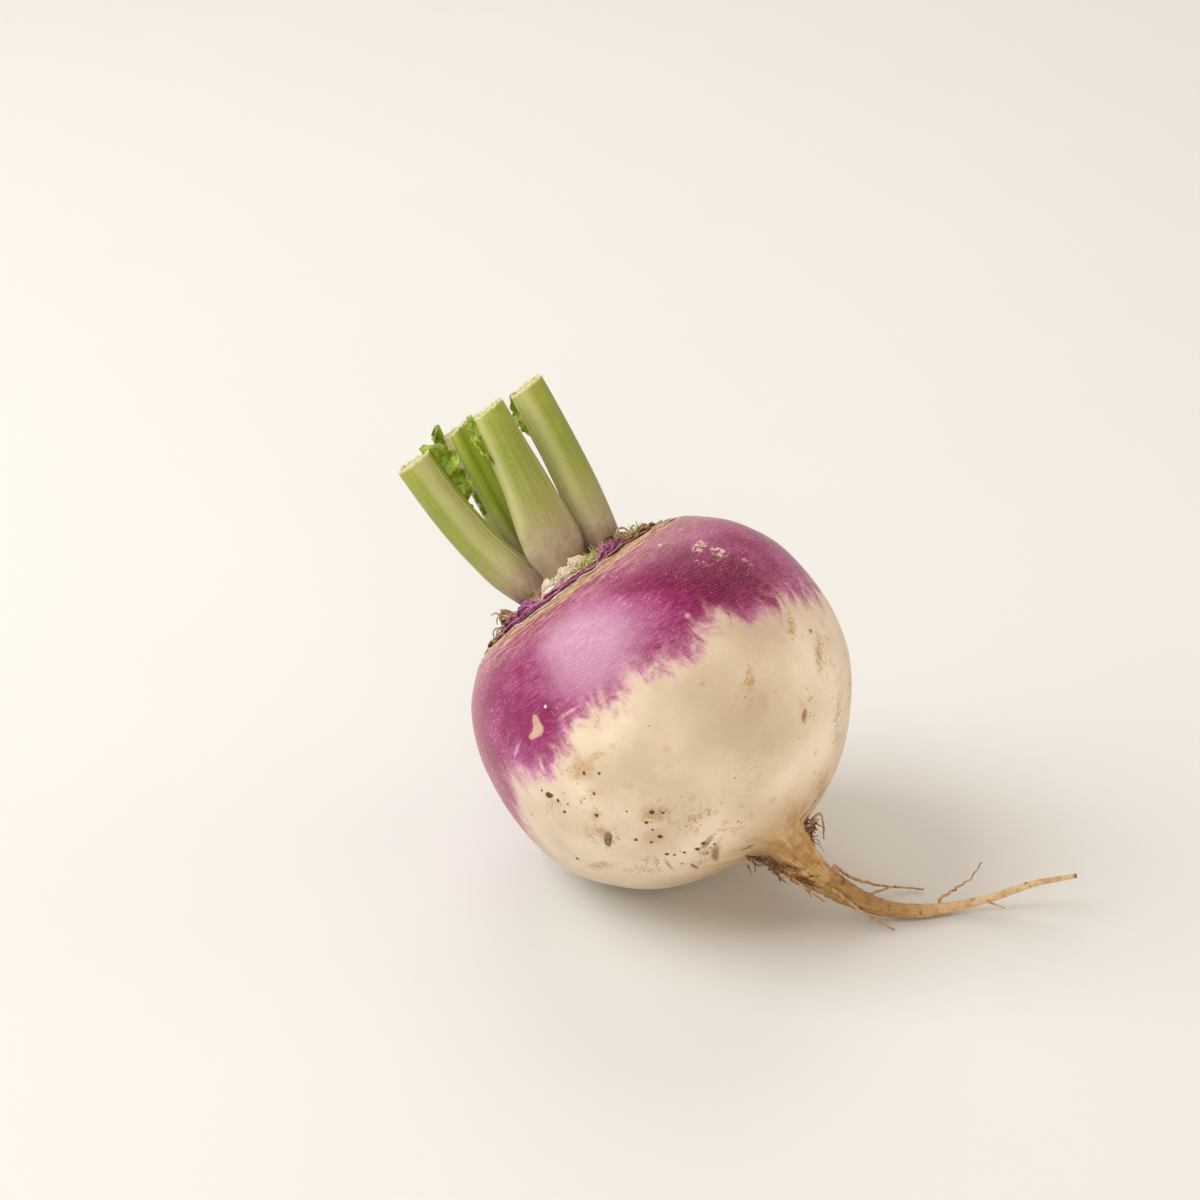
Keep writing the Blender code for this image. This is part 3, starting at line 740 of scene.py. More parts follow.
    # painted shade along the middle of the root and painted light towards its tip, over its own browner and
    # paler colour
    brownerAndShaded = ranged(level, -50, -57) * ranged(level, -80, -68)
    palerAndLit = ranged(level, -70, -92) * ranged(fine, 0.3, 0.6, 0.4, 1)
    root = layered(paint(fibres * ranged(level, -50, -64, 1, 0.55), skin["tan"], skin["paleTan"]), (
        (brownerAndShaded * 0.4, (0.24, 0.11, 0.04)),
        (palerAndLit * 0.8, (0.84, 0.65, 0.4)),
        (ranged(clouds(place, 0.3, 4, 0.65), 0.48, 0.66) * 0.42, (0.24, 0.11, 0.036)),
        (creasesAndShade * 0.5, (0.16, 0.07, 0.022))))
    onRoot = ranged(level + fibres * 5, -33, -43)
    colour = layered(cream, (
        (mask, purple),
        (darkDots * onCream * 0.85, (0.14, 0.05, 0.013)),
        (onRoot, root),
        (ranged(edge, 0.2, 0.75) * ranged(level, -42, -46) * 0.7, (0.15, 0.055, 0.018)),
        (ranged(level, -112, -113.4) * 0.92, skin["dark"])))

    # marks, each at its own place
    flakes = ranged(clouds(vectorCalc("MULTIPLY", ragged[1], (0.5, 1.3, 1)), 1, 3, 0.6), 0.49, 0.56)
    hard = darkDots * 0.5
    dotLook = (0, 1, 0.4, 0, 1, (0.125, 0.048, 0.015))
    dots = [(dotTurn, latitude, size, size * 0.84, *dotLook) for dotTurn, latitude, size in skin["dots"]]
    for markTurn, latitude, wide, high, lean, rag, soft, broken, strength, tint in [*skin["marks"], *dots]:
        one = useGroup(mark, {"Angles": ragged[rag], "Centre": (markTurn, latitude, 0),
            "Size": (wide, high, 1), "Lean": lean, "Soft": soft})
        if broken:
            one *= ranged(flakes, 0, 1, 1 - broken, 1)
        one *= strength
        colour = paint(one, colour, tint)
        hard = calc("MAXIMUM", hard, one)

    # crown: papery rings and the scarred collar
    collarTone = ringLines(0.3, 1.5, 5, 0.68, 1, radial=True)
    paper = ranged(edge, 0.12, 0.6) * ranged(level, 24, 26)
    colour = layered(colour, (
        (ranged(level, 30.35, 30.9), ramp(collarTone, skin["collar"])),
        (ranged(level, 35, 36.2), ramp(collarTone, skin["crownTop"])),
        (paper * 0.9, ramp(fringe, skin["paper"])),
        # painted shade: the cracks dented into the mesh are painted near black
        (ranged(share, 0.25, 0.9) * 0.92, skin["dark"])))

    rough = ranged(fine, 0.3, 0.7, 0.24, 0.34) + onRoot * 0.3
    rough += calc("MAXIMUM", paper, hard) * 0.3 + ranged(above, 3, -3, 0, 0.1)
    height = fine * 0.35 + clouds(place, 6, 2, 0.6) * 0.12 + lines * mask * 0.8 + lightDots * 0.3
    height += darkDots * 0.35 + fibres * onRoot * 0.9 - creasesAndShade * onRoot * 1.5
    return giveFinish(material, colour, rough, height, 0.2, 0.5)


buildBody(skinMaterial())
print("bulb, crown and tap root done")


stalks = {
    "foot": 36.9, "swellAt": 0.16, "taper": 1.6, "cutLean": 0.19,
    "channel": 0.42, "channelWidth": 0.42,
    "start": -0.07,  # how far below its foot a stalk starts, as a share of its length
    "sides": 72, "steps": 70,
    "ribs": 17, "ribHeight": 0.007,
    "towardFront": {"leaf_stalk_1": 0.28, "leaf_stalk_4": 0.42},
    "capRings": ((0.985, 0.1), (0.95, 0.1), (0.88, -0.02), (0.76, -0.16), (0.6, -0.22), (0.42, -0.2),
        (0.22, -0.22), (0.06, -0.2)),  # share of the width, height over the cut
    "tones": ((0, (0.25, 0.18, 0.115)), (0.12, (0.35, 0.295, 0.185)), (0.27, (0.31, 0.28, 0.115)),
        (0.45, (0.265, 0.275, 0.055)), (0.75, (0.215, 0.26, 0.02)), (1, (0.33, 0.34, 0.04))),
    "cutTones": ((0, (0.72, 0.66, 0.44)), (0.06, (0.62, 0.56, 0.29)), (0.3, (0.47, 0.47, 0.18)),
        (0.8, (0.56, 0.53, 0.27))),
    "frayCount": 26, "frayHeight": (0.3, 0.8), "frayRadii": (0.16, 0.11, 0.04),
    # foot (front, right), bend, cut end, widths at foot, swell and end, depths at foot and end
    "leaf_stalk_1": ((3, -8), (3.2, -14, 47.5), (3, -13.6, 75.9), (9, 9.6, 8.6), (10, 8.8)),
    "leaf_stalk_2": ((-5.8, -6.4), (-6, -5.4, 58), (-6, -1.7, 76.8), (7, 7.8, 8), (6.4, 6.4)),
    "leaf_stalk_3": ((10.3, -0.4), (11.4, 4, 56), (9.5, 6.4, 75.2), (10.4, 13.8, 8.2), (7, 7.4)),
    "leaf_stalk_4": ((3.6, 9.6), (3.8, 13.7, 50), (3, 16.4, 74.9), (9, 9.4, 8.4), (9.4, 8.8)),
    "leaf_stalk_5": ((-6.6, 7.6), (-7.8, 13, 50), (-8.4, 15.4, 74), (8.4, 8.8, 7.4), (7, 7.2)),
    "leaf_stalk_6": ((-10.4, -0.8), (-12.2, 1.5, 55), (-12.4, 5, 74.6), (8, 8.4, 7), (6.8, 7)),
}


def stalkPoint(stalk, share):
    # Centre, direction, outward side, half width and half depth at a share of its length
    (footFront, footRight), bend, end, widths, depths = stalks[stalk]
    foot = Vector((footFront, footRight, stalks["foot"]))
    bend = Vector(bend)
    end = Vector(end)
    rest = 1 - share
    centre = foot * rest ** 2 + bend * (2 * rest * share) + end * share ** 2
    along = ((bend - foot) * rest + (end - bend) * share).normalized()
    outward = Vector((bend.x, bend.y, 0)).normalized()
    outward = (outward - along * outward.dot(along)).normalized()
    swell = stalks["swellAt"]
    if share < swell:
        width = widths[0] + (widths[1] - widths[0]) * sin(pi / 2 * max(share, 0) / swell)
    else:
        width = widths[2] + (widths[1] - widths[2]) * (max(rest, 0) / (1 - swell)) ** stalks["taper"]
    depth = depths[0] + (depths[1] - depths[0]) * max(share, 0)
    return centre, along, outward, width / 2, depth / 2


def buildStalk(name, seed, material):
    bm, layers = newMesh()
    rings, shares = [], []
    steps = stalks["steps"]
    for step in range(steps + 1):
        share = stalks["start"] + (1 - stalks["start"]) * step / steps
        centre, along, outward, wide, deep = stalkPoint(name, share)
        outward = outward.lerp(Vector((1, 0, 0)), stalks["towardFront"].get(name, 0))
        outward = (outward - along * outward.dot(along)).normalized()
        if share <= 0:
            along = Vector((0, 0, 1))
        cut = Vector((stalks["cutLean"], 0, 1)).normalized()
        along = along.lerp(cut, smoothStep(0.9, 1, share))
        rings.append(crownFrame @ ringPlace(centre * mm, along, outward, wide * mm, deep * mm))
        shares.append(share)
    end = rings[-1]
    for size, height in stalks["capRings"]:
        rings.append(end @ Matrix.Translation((0, 0, height * mm)) @ Matrix.Diagonal((size, size, 1, 1)))
        shares.append(2 - size)
    ringVerts = loft(bm, rings, stalks["sides"])
    shift = Vector((seed * 7.3, seed * 3.1, 0))

    def section(index, angle, vert):
        share = shares[index]
        onStalk = min(share, 1)
        x, y = cos(angle), sin(angle)
        radius = 1 + stalks["ribHeight"] * sin(stalks["ribs"] * angle + seed) * (0.4 + 0.6 * (y > 0))
        radius += 0.035 * noise.noise(Vector((x * 1.3, y * 1.3, onStalk * 5)) + shift)
        wing = hump(angle, -0.3, 0.1) + hump(angle, -pi + 0.3, 0.1)
        groove = hump(angle, -0.52, 0.09) + hump(angle, -pi + 0.52, 0.09)
        grown = smoothStep(0.04, 0.3, onStalk)
        radius += (0.075 * wing - 0.05 * groove) * grown
        channel = 0
        if y < 0:
            channel = stalks["channel"] * exp(-(x / stalks["channelWidth"]) ** 2) * (0.3 + 0.7 * grown)
        height = 0
        if share > 0.985:
            torn = noise.noise(Vector((x, y, 0)) * 3.2 + shift) * 0.28
            height = (torn + 0.22 * noise.noise(Vector((x, y, 0)) * 9 + shift)) * (2.2 - share) * mm
        vert[layers["share"]] = share
        vert[layers["edge"]] = wing * grown
        vert[layers["level"]] = y
        vert[layers["place"]] = (x, y, onStalk)
        return Vector((x * radius, y * radius * (1 - channel), height))

    shapeRings(rings, ringVerts, section)
    addFray(bm, layers, end, seed)
    piece = name.replace("leaf_stalk_", "stalk")
    return finishPiece(bm, piece, material, [name])


def addFray(bm, layers, end, seed):
    # Short torn fibres round the rim of the knife cut
    chance = random.Random(seed)
    for count in range(stalks["frayCount"]):
        angle = chance.uniform(0, 2 * pi)
        rim = chance.uniform(0.8, 0.97)
        foot = end @ Vector((cos(angle) * rim, sin(angle) * rim * 0.75, -0.0001))
        way = (end.to_3x3() @ Vector((0, 0, 1))).normalized()
        side = (end @ Vector((cos(angle), sin(angle), 0)) - end.translation).normalized()
        tall = chance.uniform(*stalks["frayHeight"]) * mm
        lean = side * chance.uniform(-0.3, 0.8) + jitter(chance, 0.4)
        path = [foot, foot + (way + lean * 0.3) * tall * 0.5, foot + (way + lean) * tall]
        for verts in addTube(bm, layers, path, stalks["frayRadii"], 4):
            for vert in verts:
                vert[layers["share"]] = 1.02


def stalkMaterial():
    material, tree, place = newMaterial("stalkGreen")
    share, outer, wing = [attribute(tree, name) for name in ("share", "level", "edge")]
    ringAt = attribute(tree, "ringPlace", "Vector")
    blotch = clouds(place, 0.22, 3, 0.6)
    grain = clouds(place, 3.2, 3, 0.7)
    lines = streaked(ringAt, (8, 8, 2.2), 0.36, 0.68)
    wide = streaked(ringAt, (1.8, 1.8, 1.1), 0.42, 0.65)
    dots = speckled(place, 1.1, 0.17, 0.35)
    grown = ranged(share, 0.22, 0.6)
    sides = calc("ABSOLUTE", results(tree, "SeparateXYZ", {0: ringAt})["X"])
    pale = ranged(sides, 0.55, 0.95) * ranged(share, 0.1, 0.4)
    mauve = ranged(share, 0.36, 0.02) * ranged(blotch, 0.4, 0.64)
    rimLine = ranged(wing, 0.55, 0.35) * ranged(wing, 0.05, 0.25)
    # the cut end: pale rim, greener pith with fibre dots
    cut = layered(ramp(share - 1, stalks["cutTones"]), (
        (speckled(place, 1.5, 0.3, 0.6) * 0.45, (0.72, 0.68, 0.48)),
        (ranged(clouds(place, 0.8, 4), 0.52, 0.7) * 0.4, (0.42, 0.27, 0.13))))
    colour = layered(ramp(share + ranged(blotch, 0.25, 0.75, -0.12, 0.12), stalks["tones"]), (
        (lines * 0.22, (0.5, 0.47, 0.11)),
        (wide * grown * 0.4, (0.19, 0.25, 0.014)),
        (pale * 0.5, (0.54, 0.52, 0.25)),
        (ranged(outer, -0.1, -0.6) * grown * 0.75, (0.32, 0.43, 0.01)),
        (mauve * 0.85, (0.32, 0.16, 0.17)),
        (ranged(grain, 0.48, 0.75, 0, 0.28), (0.52, 0.49, 0.2)),
        (ranged(grain, 0.52, 0.28, 0, 0.3), (0.16, 0.15, 0.035)),
        (ranged(wing, 0.3, 0.9) * 0.65, (0.52, 0.45, 0.2)),
        (rimLine * 0.5, (0.14, 0.13, 0.02)),
        (dots * 0.25, (0.62, 0.58, 0.34)),
        (ranged(share, 0.985, 1.01), cut)))
    return giveFinish(material, colour, ranged(lines, 0, 1, 0.38, 0.52), lines * 0.6 + dots * 0.3, 0.16,
        0.45)


stalkFinish = stalkMaterial()
for number in range(1, 7):
    buildStalk(f"leaf_stalk_{number}", number, stalkFinish)
print("stalks done")


lobes = {
    "gap": -0.3, "channelReach": 0.8, "across": 46, "along": 16, "thickness": 0.32,
    "tones": ((0.3, (0.06, 0.11, 0.001)), (0.5, (0.19, 0.29, 0.003)), (0.68, (0.38, 0.46, 0.015))),
    # stalk, turn round it, start and end along it, width, ruffle height, folds, curl, replaced node
    "lobe1": ("leaf_stalk_1", 180, 0.72, 1.03, 6.4, 1.4, 2.8, 1.4, "leaf_lobe_1"),
    "lobe2": ("leaf_stalk_2", 62, 0.86, 1.05, 2.8, 0.8, 1.8, 1.4, "leaf_lobe_2"),
    "lobe3": ("leaf_stalk_2", 100, 0.49, 0.63, 2.4, 0.5, 1.6, 0.8, "leaf_lobe_3"),
    "lobe4": ("leaf_stalk_3", -90, 0.7, 1.01, 2.6, 0.7, 2.6, 1, "leaf_lobe_4"),
    "lobe5": ("leaf_stalk_4", 186, 0.75, 1, 2.9, 0.6, 2, 1.2, "leaf_lobe_5"),
    "lobeInner": ("leaf_stalk_1", 205, 0.66, 0.94, 4.6, 1, 2.4, -1.6, None),
    "lobeTop": ("leaf_stalk_2", 40, 0.95, 1.07, 2.6, 1, 1.6, 1.8, None),
    "lobeBack": ("leaf_stalk_5", 180, 0.76, 1, 3.4, 0.9, 2.2, 1.2, None),
}


def buildLobe(name, seed, material):
    stalk, turn, start, end, width, ruffle, folds, curl, node = lobes[name]
    turn = radians(turn)
    shift = Vector((seed * 5.7, 0, 0))
    bm, layers = newMesh()

    def shape(u, v):
        centre, along, outward, wide, deep = stalkPoint(stalk, start + (end - start) * u)
        side = along.cross(outward)
        away = outward * cos(turn) + side * sin(turn)
        face = along.cross(away)
        if cos(turn) < 0:
            deep *= 1 - lobes["channelReach"] * stalks["channel"]
        reach = hypot(deep * cos(turn), wide * sin(turn)) + lobes["gap"]
        rounded = sin(pi * (0.04 + 0.92 * u)) ** 0.5
        teeth = 0.78 + 0.22 * abs(sin(u * folds * 7)) + 0.3 * ripple(u * 5, 0, seed)
        out = width * rounded * teeth * v
        wave = ruffle * v * sin(2 * pi * folds * u + seed)
        crumple = 0.9 * ripple(u * 6, v * 3, seed) * v
        crumple += 0.12 * noise.noise(Vector((u * 20, v * 9, seed)) + shift)
        bend = curl * v * v * sin(u * 5 + seed)
        slip = along * (0.6 * ripple(u * 6, v * 6, seed + 9) * v)
        return crownFrame @ ((centre + away * (reach + out) + face * (wave + crumple + bend) + slip) * mm)

    gridSheet(bm, layers, lobes["across"], lobes["along"], shape)
    return finishPiece(bm, name, material, [node] if node else (), lobes["thickness"])


def leafMaterial():
    material, tree, place = newMaterial("leafGreen")
    tone = clouds(place, 0.9, 4, 0.6)
    veins = streaked(attribute(tree, "ringPlace", "Vector"), (26, 4, 1), 0.55, 0.72)
    rim = ranged(attribute(tree, "edge"), 0.86, 1)
    colour = layered(ramp(tone, lobes["tones"]), (
        (veins * 0.5, (0.34, 0.38, 0.1)),
        (rim * 0.45, (0.4, 0.4, 0.12))))
    height = clouds(place, 2, 4, 0.6) + veins * 0.5
    return giveFinish(material, colour, ranged(tone, 0.3, 0.7, 0.42, 0.6), height, 0.16, 0.5)


leafFinish = leafMaterial()
for number, name in enumerate([key for key in lobes if key.startswith("lobe")], 1):
    buildLobe(name, number * 1.7, leafFinish)
print("leaf lobes done")


def crownHeight(radius):
    # Height of the collar's slope at a distance from the crown axis
    slope = [(height, distance) for height, distance, lean, steps in bulb["stations"]][3:9]
    for (high, inner), (low, outer) in zip(slope, slope[1:]):
        if inner <= radius <= outer:
            return high + (low - high) * (radius - inner) / (outer - inner)
    return slope[0][0] if radius < slope[0][1] else slope[-1][0]


def crownPlace(turn, radius, lift):
    # A point over the collar, in metres
    angle = radians(turn)
    height = crownHeight(radius)
    tip = Matrix.Rotation(radians(bulb["crownTip"]) * height / bulb["crownTop"], 4, "Y")
    point = Vector((cos(angle) * radius, sin(angle) * radius, height + lift))
    return bulbFrame @ tip @ (point * mm)


stub = {
    "turn": (-31, 29), "radius": 15.8, "height": 3.5, "layers": 4, "pleats": 6,
    "across": 150, "along": 9, "thickness": 0.34,
    # fuzz: start and end turn, inner and outer radius, count
    "fuzz": ((4, 34, 15, 18.2, 210), (48, 74, 17.5, 21, 110)), "hairLength": (0.6, 1.7),
    "hairRadii": (0.16, 0.11, 0.05),
}


def buildStub(material, hairMaterial):
    bm, layers = newMesh()
    first, last = stub["turn"]
    for layer in range(stub["layers"]):
        base = stub["radius"] - 0.9 + 0.62 * layer

        def shape(u, v):
            turn = first + (last - first) * u + 2.2 * ripple(u * 8, v * 2, layer * 3)
            ends = sin(pi * (0.03 + 0.94 * u)) ** 0.45
            torn = 0.85 + 0.5 * ripple(u * 5, layer * 4.1, 0)
            torn += 0.2 * ripple(u * 24, layer * 7.7, 5)
            tall = stub["height"] * ends * max(torn, 0.25) * (1 - 0.16 * layer)
            pleat = 0.2 * sin(stub["pleats"] * pi * u * 2 + layer * 1.9) * (0.3 + 0.7 * v)
            pleat += 0.7 * ripple(u * 9, v * 3, layer)
            pleat += 0.22 * ripple(u * 40, v * 2, layer)
            flare = 0.9 * v * v * (layer - 1) * 0.6
            return crownPlace(turn, base + pleat + flare, -0.5 + tall * v)

        gridSheet(bm, layers, stub["across"], stub["along"], shape)
    finishPiece(bm, "cutStub", material, ["stalk_stub"], stub["thickness"])

    chance = random.Random(41)
    bm, layers = newMesh()
    up = crownFrame.to_3x3() @ Vector((0, 0, 1))
    for first, last, inner, outer, count in stub["fuzz"]:
        for number in range(count):
            foot = crownPlace(chance.uniform(first, last), chance.uniform(inner, outer), 0.3)
            lean = jitter(chance, 0.9)
            tall = chance.uniform(*stub["hairLength"]) * mm
            path = [foot, foot + (up + lean * 0.3) * tall * 0.6, foot + (up + lean) * tall]
            addTube(bm, layers, path, stub["hairRadii"], 4)
    finishPiece(bm, "stubFuzz", hairMaterial)


flaps = {
    # start and end turn, radius, height, outward reach, tip (0 round, 1 pointed), crumple, slot
    "leaf_scale_1": ((-60, -33), 16.6, 2.6, 2.3, 0.9, 0.35, "scale"),
    "leaf_scale_2": ((-32, 12), 18.4, 1, 2, 0.5, 0.25, "scale"),
    "leaf_scale_3": ((16, 44), 18, 2.8, 1.8, 0.8, 0.6, "scale"),
    "dry_husk_1": ((-84, -50), 18.6, 4.2, 1.4, 0.9, 1.2, "husk"),
    "dry_husk_2": ((44, 72), 16.4, 2.8, 1.2, 0.9, 0.7, "husk"),
    "dry_husk_3": ((98, 152), 16.6, 2, 1.6, 0.6, 0.7, "husk"),
    "dry_husk_4": ((168, 238), 16.6, 2.2, 1.6, 0.6, 0.8, "husk"),
    "frills": 3, "frillGap": 0.85, "frillDrop": 0.16,  # sheets in each flap, one behind the other
    "across": 64, "along": 12, "thickness": 0.26,
}


def buildFlap(name, seed, material):
    (first, last), radius, tall, reach, point, crumple, slotName = flaps[name]
    bm, layers = newMesh()
    for frill in range(flaps["frills"]):
        back = frill * flaps["frillGap"]
        squeeze = 1 - flaps["frillDrop"] * frill

        def shape(u, v):
            middle = (first + last) / 2 + 4 * ripple(seed, frill * 3, 0)
            turn = middle + (last - first) * squeeze * (u - 0.5) * (1 - 0.35 * point * v)
            crest = sin(pi * (0.03 + 0.94 * u)) ** (0.5 + point)
            torn = 0.8 + 0.45 * ripple(u * 7, seed, frill) + 0.25 * ripple(u * 22, seed, frill * 2)
            rise = tall * crest * max(torn, 0.15)
            lift = rise * sin(v * 1.75)
            out = reach * v * v * crest - back
            fold = crumple * ripple(u * 9, v * 4, seed + frill) * (0.3 + v)
            fold += 0.35 * crumple * ripple(u * 25, v * 8, seed + frill)
            return crownPlace(turn, radius + out + fold, -0.35 + lift + 0.5 * fold)

        gridSheet(bm, layers, flaps["across"], flaps["along"], shape)
    piece = name.replace("leaf_scale_", "scale").replace("dry_husk_", "husk")
    return finishPiece(bm, piece, material, [name], flaps["thickness"])


ribbons = {
    # torn skin that stands along the rings of the crown: start and end turn, radius, height, flare
    "purple": ((-66, 6, 23.6, 1.6, 1.7), (-50, 12, 21.8, 1.7, 1.4), (-60, -30, 20.6, 2.3, 1.4),
        (-8, 26, 23.2, 1.1, 1.2), (20, 44, 21.4, 1.8, 1.2), (24, 42, 19.6, 2.2, 0.8),
        (150, 200, 21, 1.6, 1.2)),
    "cream": ((-56, 2, 25.7, 1, 0.7), (-18, 30, 25.5, 0.9, 0.7), (-26, 22, 22.6, 0.9, 0.9),
        (-60, -28, 18.6, 1, 0.6)),
    "brown": ((-90, -44, 24.4, 0.9, 0.8), (-88, -52, 21.6, 1.5, 0.7), (10, 60, 23.8, 0.9, 0.8),
        (36, 80, 21.8, 1.3, 0.7), (44, 92, 19.8, 1.7, 0.6), (76, 150, 23.2, 0.9, 0.8),
        (84, 140, 20.8, 1.5, 0.7), (136, 210, 22.8, 0.9, 0.8), (190, 262, 23.2, 0.9, 0.8),
        (200, 255, 20.8, 1.5, 0.7), (250, 285, 22.2, 1.1, 0.7)),
    "paper": ((-104, -30, 25.6, 0.6, 0.5), (-62, 18, 26.6, 0.5, 0.6), (-20, 62, 25.4, 0.6, 0.5),
        (30, 88, 26.4, 0.5, 0.6), (80, 150, 25.3, 0.6, 0.5), (140, 215, 26.4, 0.5, 0.6),
        (200, 262, 25.3, 0.6, 0.5)),
    "acrossPerDegree": 1.5, "along": 6, "thickness": 0.16,
}


def buildRibbons(kind, material):
    bm, layers = newMesh()
    for first, last, radius, tall, flare in ribbons[kind]:
        key = radius + first

        def shape(u, v):
            turn = first + (last - first) * u
            ends = sin(pi * (0.01 + 0.98 * u)) ** 0.35
            torn = 0.8 + 0.6 * ripple(u * 6, key, 0)
            torn += 0.22 * ripple(u * 26, key, 4)
            sway = 0.9 * ripple(u * 5, key, 2) + 0.25 * ripple(u * 14, key, v * 2)
            rise = (0.35 + tall * max(torn, 0.08)) * ends * sin(v * 1.7)
            return crownPlace(turn, radius + sway + flare * v * v * ends, -0.35 + rise)

        across = round((last - first) * ribbons["acrossPerDegree"])
        gridSheet(bm, layers, across, ribbons["along"], shape)
    finishPiece(bm, kind + "Ribbons", material, (), ribbons["thickness"])


strands = {
    # rope-like torn edge of the skin: start and end turn, radius from the crown axis, lift, thickness
    "ropes": ((-120, -30, 27.9, 0.02, 0.26), (-92, 2, 27, 0.1, 0.3), (-66, 34, 27.8, 0.04, 0.3),
        (-28, 66, 27, 0.1, 0.32), (16, 98, 27.9, 0.02, 0.28), (58, 142, 27, 0.1, 0.28),
        (100, 190, 27.8, 0.04, 0.3), (150, 238, 27, 0.1, 0.3), (200, 264, 27.8, 0.04, 0.28),
        (-116, -48, 26.2, 0.14, 0.24), (-74, -16, 26.1, 0.18, 0.28), (-40, 24, 26.3, 0.14, 0.26),
        (2, 58, 26, 0.18, 0.28), (40, 110, 26.3, 0.14, 0.24), (96, 170, 26.1, 0.16, 0.26),
        (160, 228, 26.2, 0.16, 0.26), (214, 258, 26.1, 0.16, 0.24),
        (-100, -40, 25.3, 0.2, 0.22), (-52, 8, 25.2, 0.2, 0.24), (-8, 44, 25.3, 0.2, 0.22),
        (34, 88, 25.2, 0.2, 0.22)),
    "step": 1.5, "wander": 1.1, "thickness": 0.8,
}


def buildStrands(material):
    bm, layers = newMesh()
    for index, (first, last, radius, lift, thick) in enumerate(strands["ropes"]):
        count = round((last - first) / strands["step"])
        path, radii = [], []
        for step in range(count + 1):
            share = step / count
            turn = first + (last - first) * share
            sway = strands["wander"] * ripple(turn * 0.06, index * 3.7, 0)
            bob = 0.25 * ripple(turn * 0.11, index * 3.7, 5)
            path.append(crownPlace(turn, radius + sway, lift + bob))
            knob = 1 + 0.55 * ripple(turn * 0.35, index, 1)
            swell = 0.25 + 0.75 * sin(pi * share) ** 0.4
            radii.append(strands["thickness"] * thick * knob * swell)
        addTube(bm, layers, path, radii)
    for vert in bm.verts:
        vert[layers["place"]] = vert.co / mm
    finishPiece(bm, "ringStrands", material)


curls = {
    # single bent fibres: points (turn, radius, lift) and thickness
    "bent": ((((49, 16.8, 0.4), (47, 17.8, 2.2), (50, 18.6, 3.4), (54, 19, 3), (56, 19.2, 1.7),
        (54, 19.4, 0.8)), 0.38),
        (((58, 18.2, 0.2), (59, 19, 1.8), (63, 19.6, 2.4), (65, 19.8, 1.2)), 0.26),
        (((64, 19.8, 0.2), (64, 20.2, 1.6), (65, 20.4, 2.9)), 0.24),
        (((60, 20.8, 0.2), (66, 21, 1.3), (72, 21.2, 1), (77, 21, 0.2)), 0.22),
        (((-64, 18.2, 0.3), (-67, 19, 2.8), (-71, 19.6, 4.6), (-76, 20.2, 5)), 0.36),
        (((-58, 18.6, 0.3), (-61, 19.6, 2.8), (-67, 20.4, 3.6), (-72, 20.8, 2.6)), 0.3),
        (((-72, 19.4, 0.2), (-78, 20.8, 2), (-83, 21.8, 2), (-86, 22.4, 0.8)), 0.26),
        (((-56, 20.6, 0.2), (-62, 21.6, 1.6), (-69, 22.2, 1.5), (-74, 22.4, 0.4)), 0.24)),
    # loose spikes: turns, radii, count, length, thickness
    "spikes": ((-88, -52, 18, 22, 34, 2.6, 0.2), (42, 92, 17.5, 22.5, 44, 1.9, 0.16),
        (-60, 40, 18.5, 24, 40, 0.9, 0.12), (92, 260, 17, 22.5, 80, 2, 0.18)),
}


def buildCurls(material):
    bm, layers = newMesh()
    for points, thick in curls["bent"]:
        path = through([crownPlace(*point) for point in points], 5)
        addTube(bm, layers, path, tapered(thick, 0.65, path))
    chance = random.Random(23)
    for first, last, inner, outer, count, length, thick in curls["spikes"]:
        for number in range(count):
            turn = chance.uniform(first, last)
            radius = chance.uniform(inner, outer)
            way = Vector((chance.uniform(-0.6, 0.6), chance.uniform(-0.4, 1), chance.uniform(0.15, 1)))
            way = way.normalized() * length * chance.uniform(0.35, 1)
            bend = chance.uniform(-0.6, 0.6)
            spots = []
            for share in (0, 0.35, 0.7, 1):
                across = way.x * share + bend * share * share
                out = min(radius + way.y * share, 29)
                spots.append(crownPlace(turn + degrees(across / radius), out, -0.1 + way.z * share))
            path = through(spots, 3)
            addTube(bm, layers, path, tapered(thick, 0.7, path), 5)
    finishPiece(bm, "crownCurls", material)


def sheetMaterial(name, stops, streakColour, rimColour, stretch, roughness):
    # Thin torn plant skin: streaks along it and a rim of its own colour
    material, tree, place = newMaterial(name)
    tone = clouds(place, 0.8, 4, 0.65)
    lines = streaked(attribute(tree, "ringPlace", "Vector"), stretch, 0.42, 0.66)
    rim = attribute(tree, "edge") + ranged(tone, 0.3, 0.7, -0.15, 0.15)
    colour = layered(ramp(tone, stops), (
        (lines * 0.55, streakColour),
        (ranged(rim, 0.7, 1) * 0.8, rimColour)))
    rough = ranged(tone, 0.3, 0.7, roughness - 0.08, roughness + 0.08)
    height = lines * 0.7 + clouds(place, 2.5, 3)
    return giveFinish(material, colour, rough, height, 0.2)


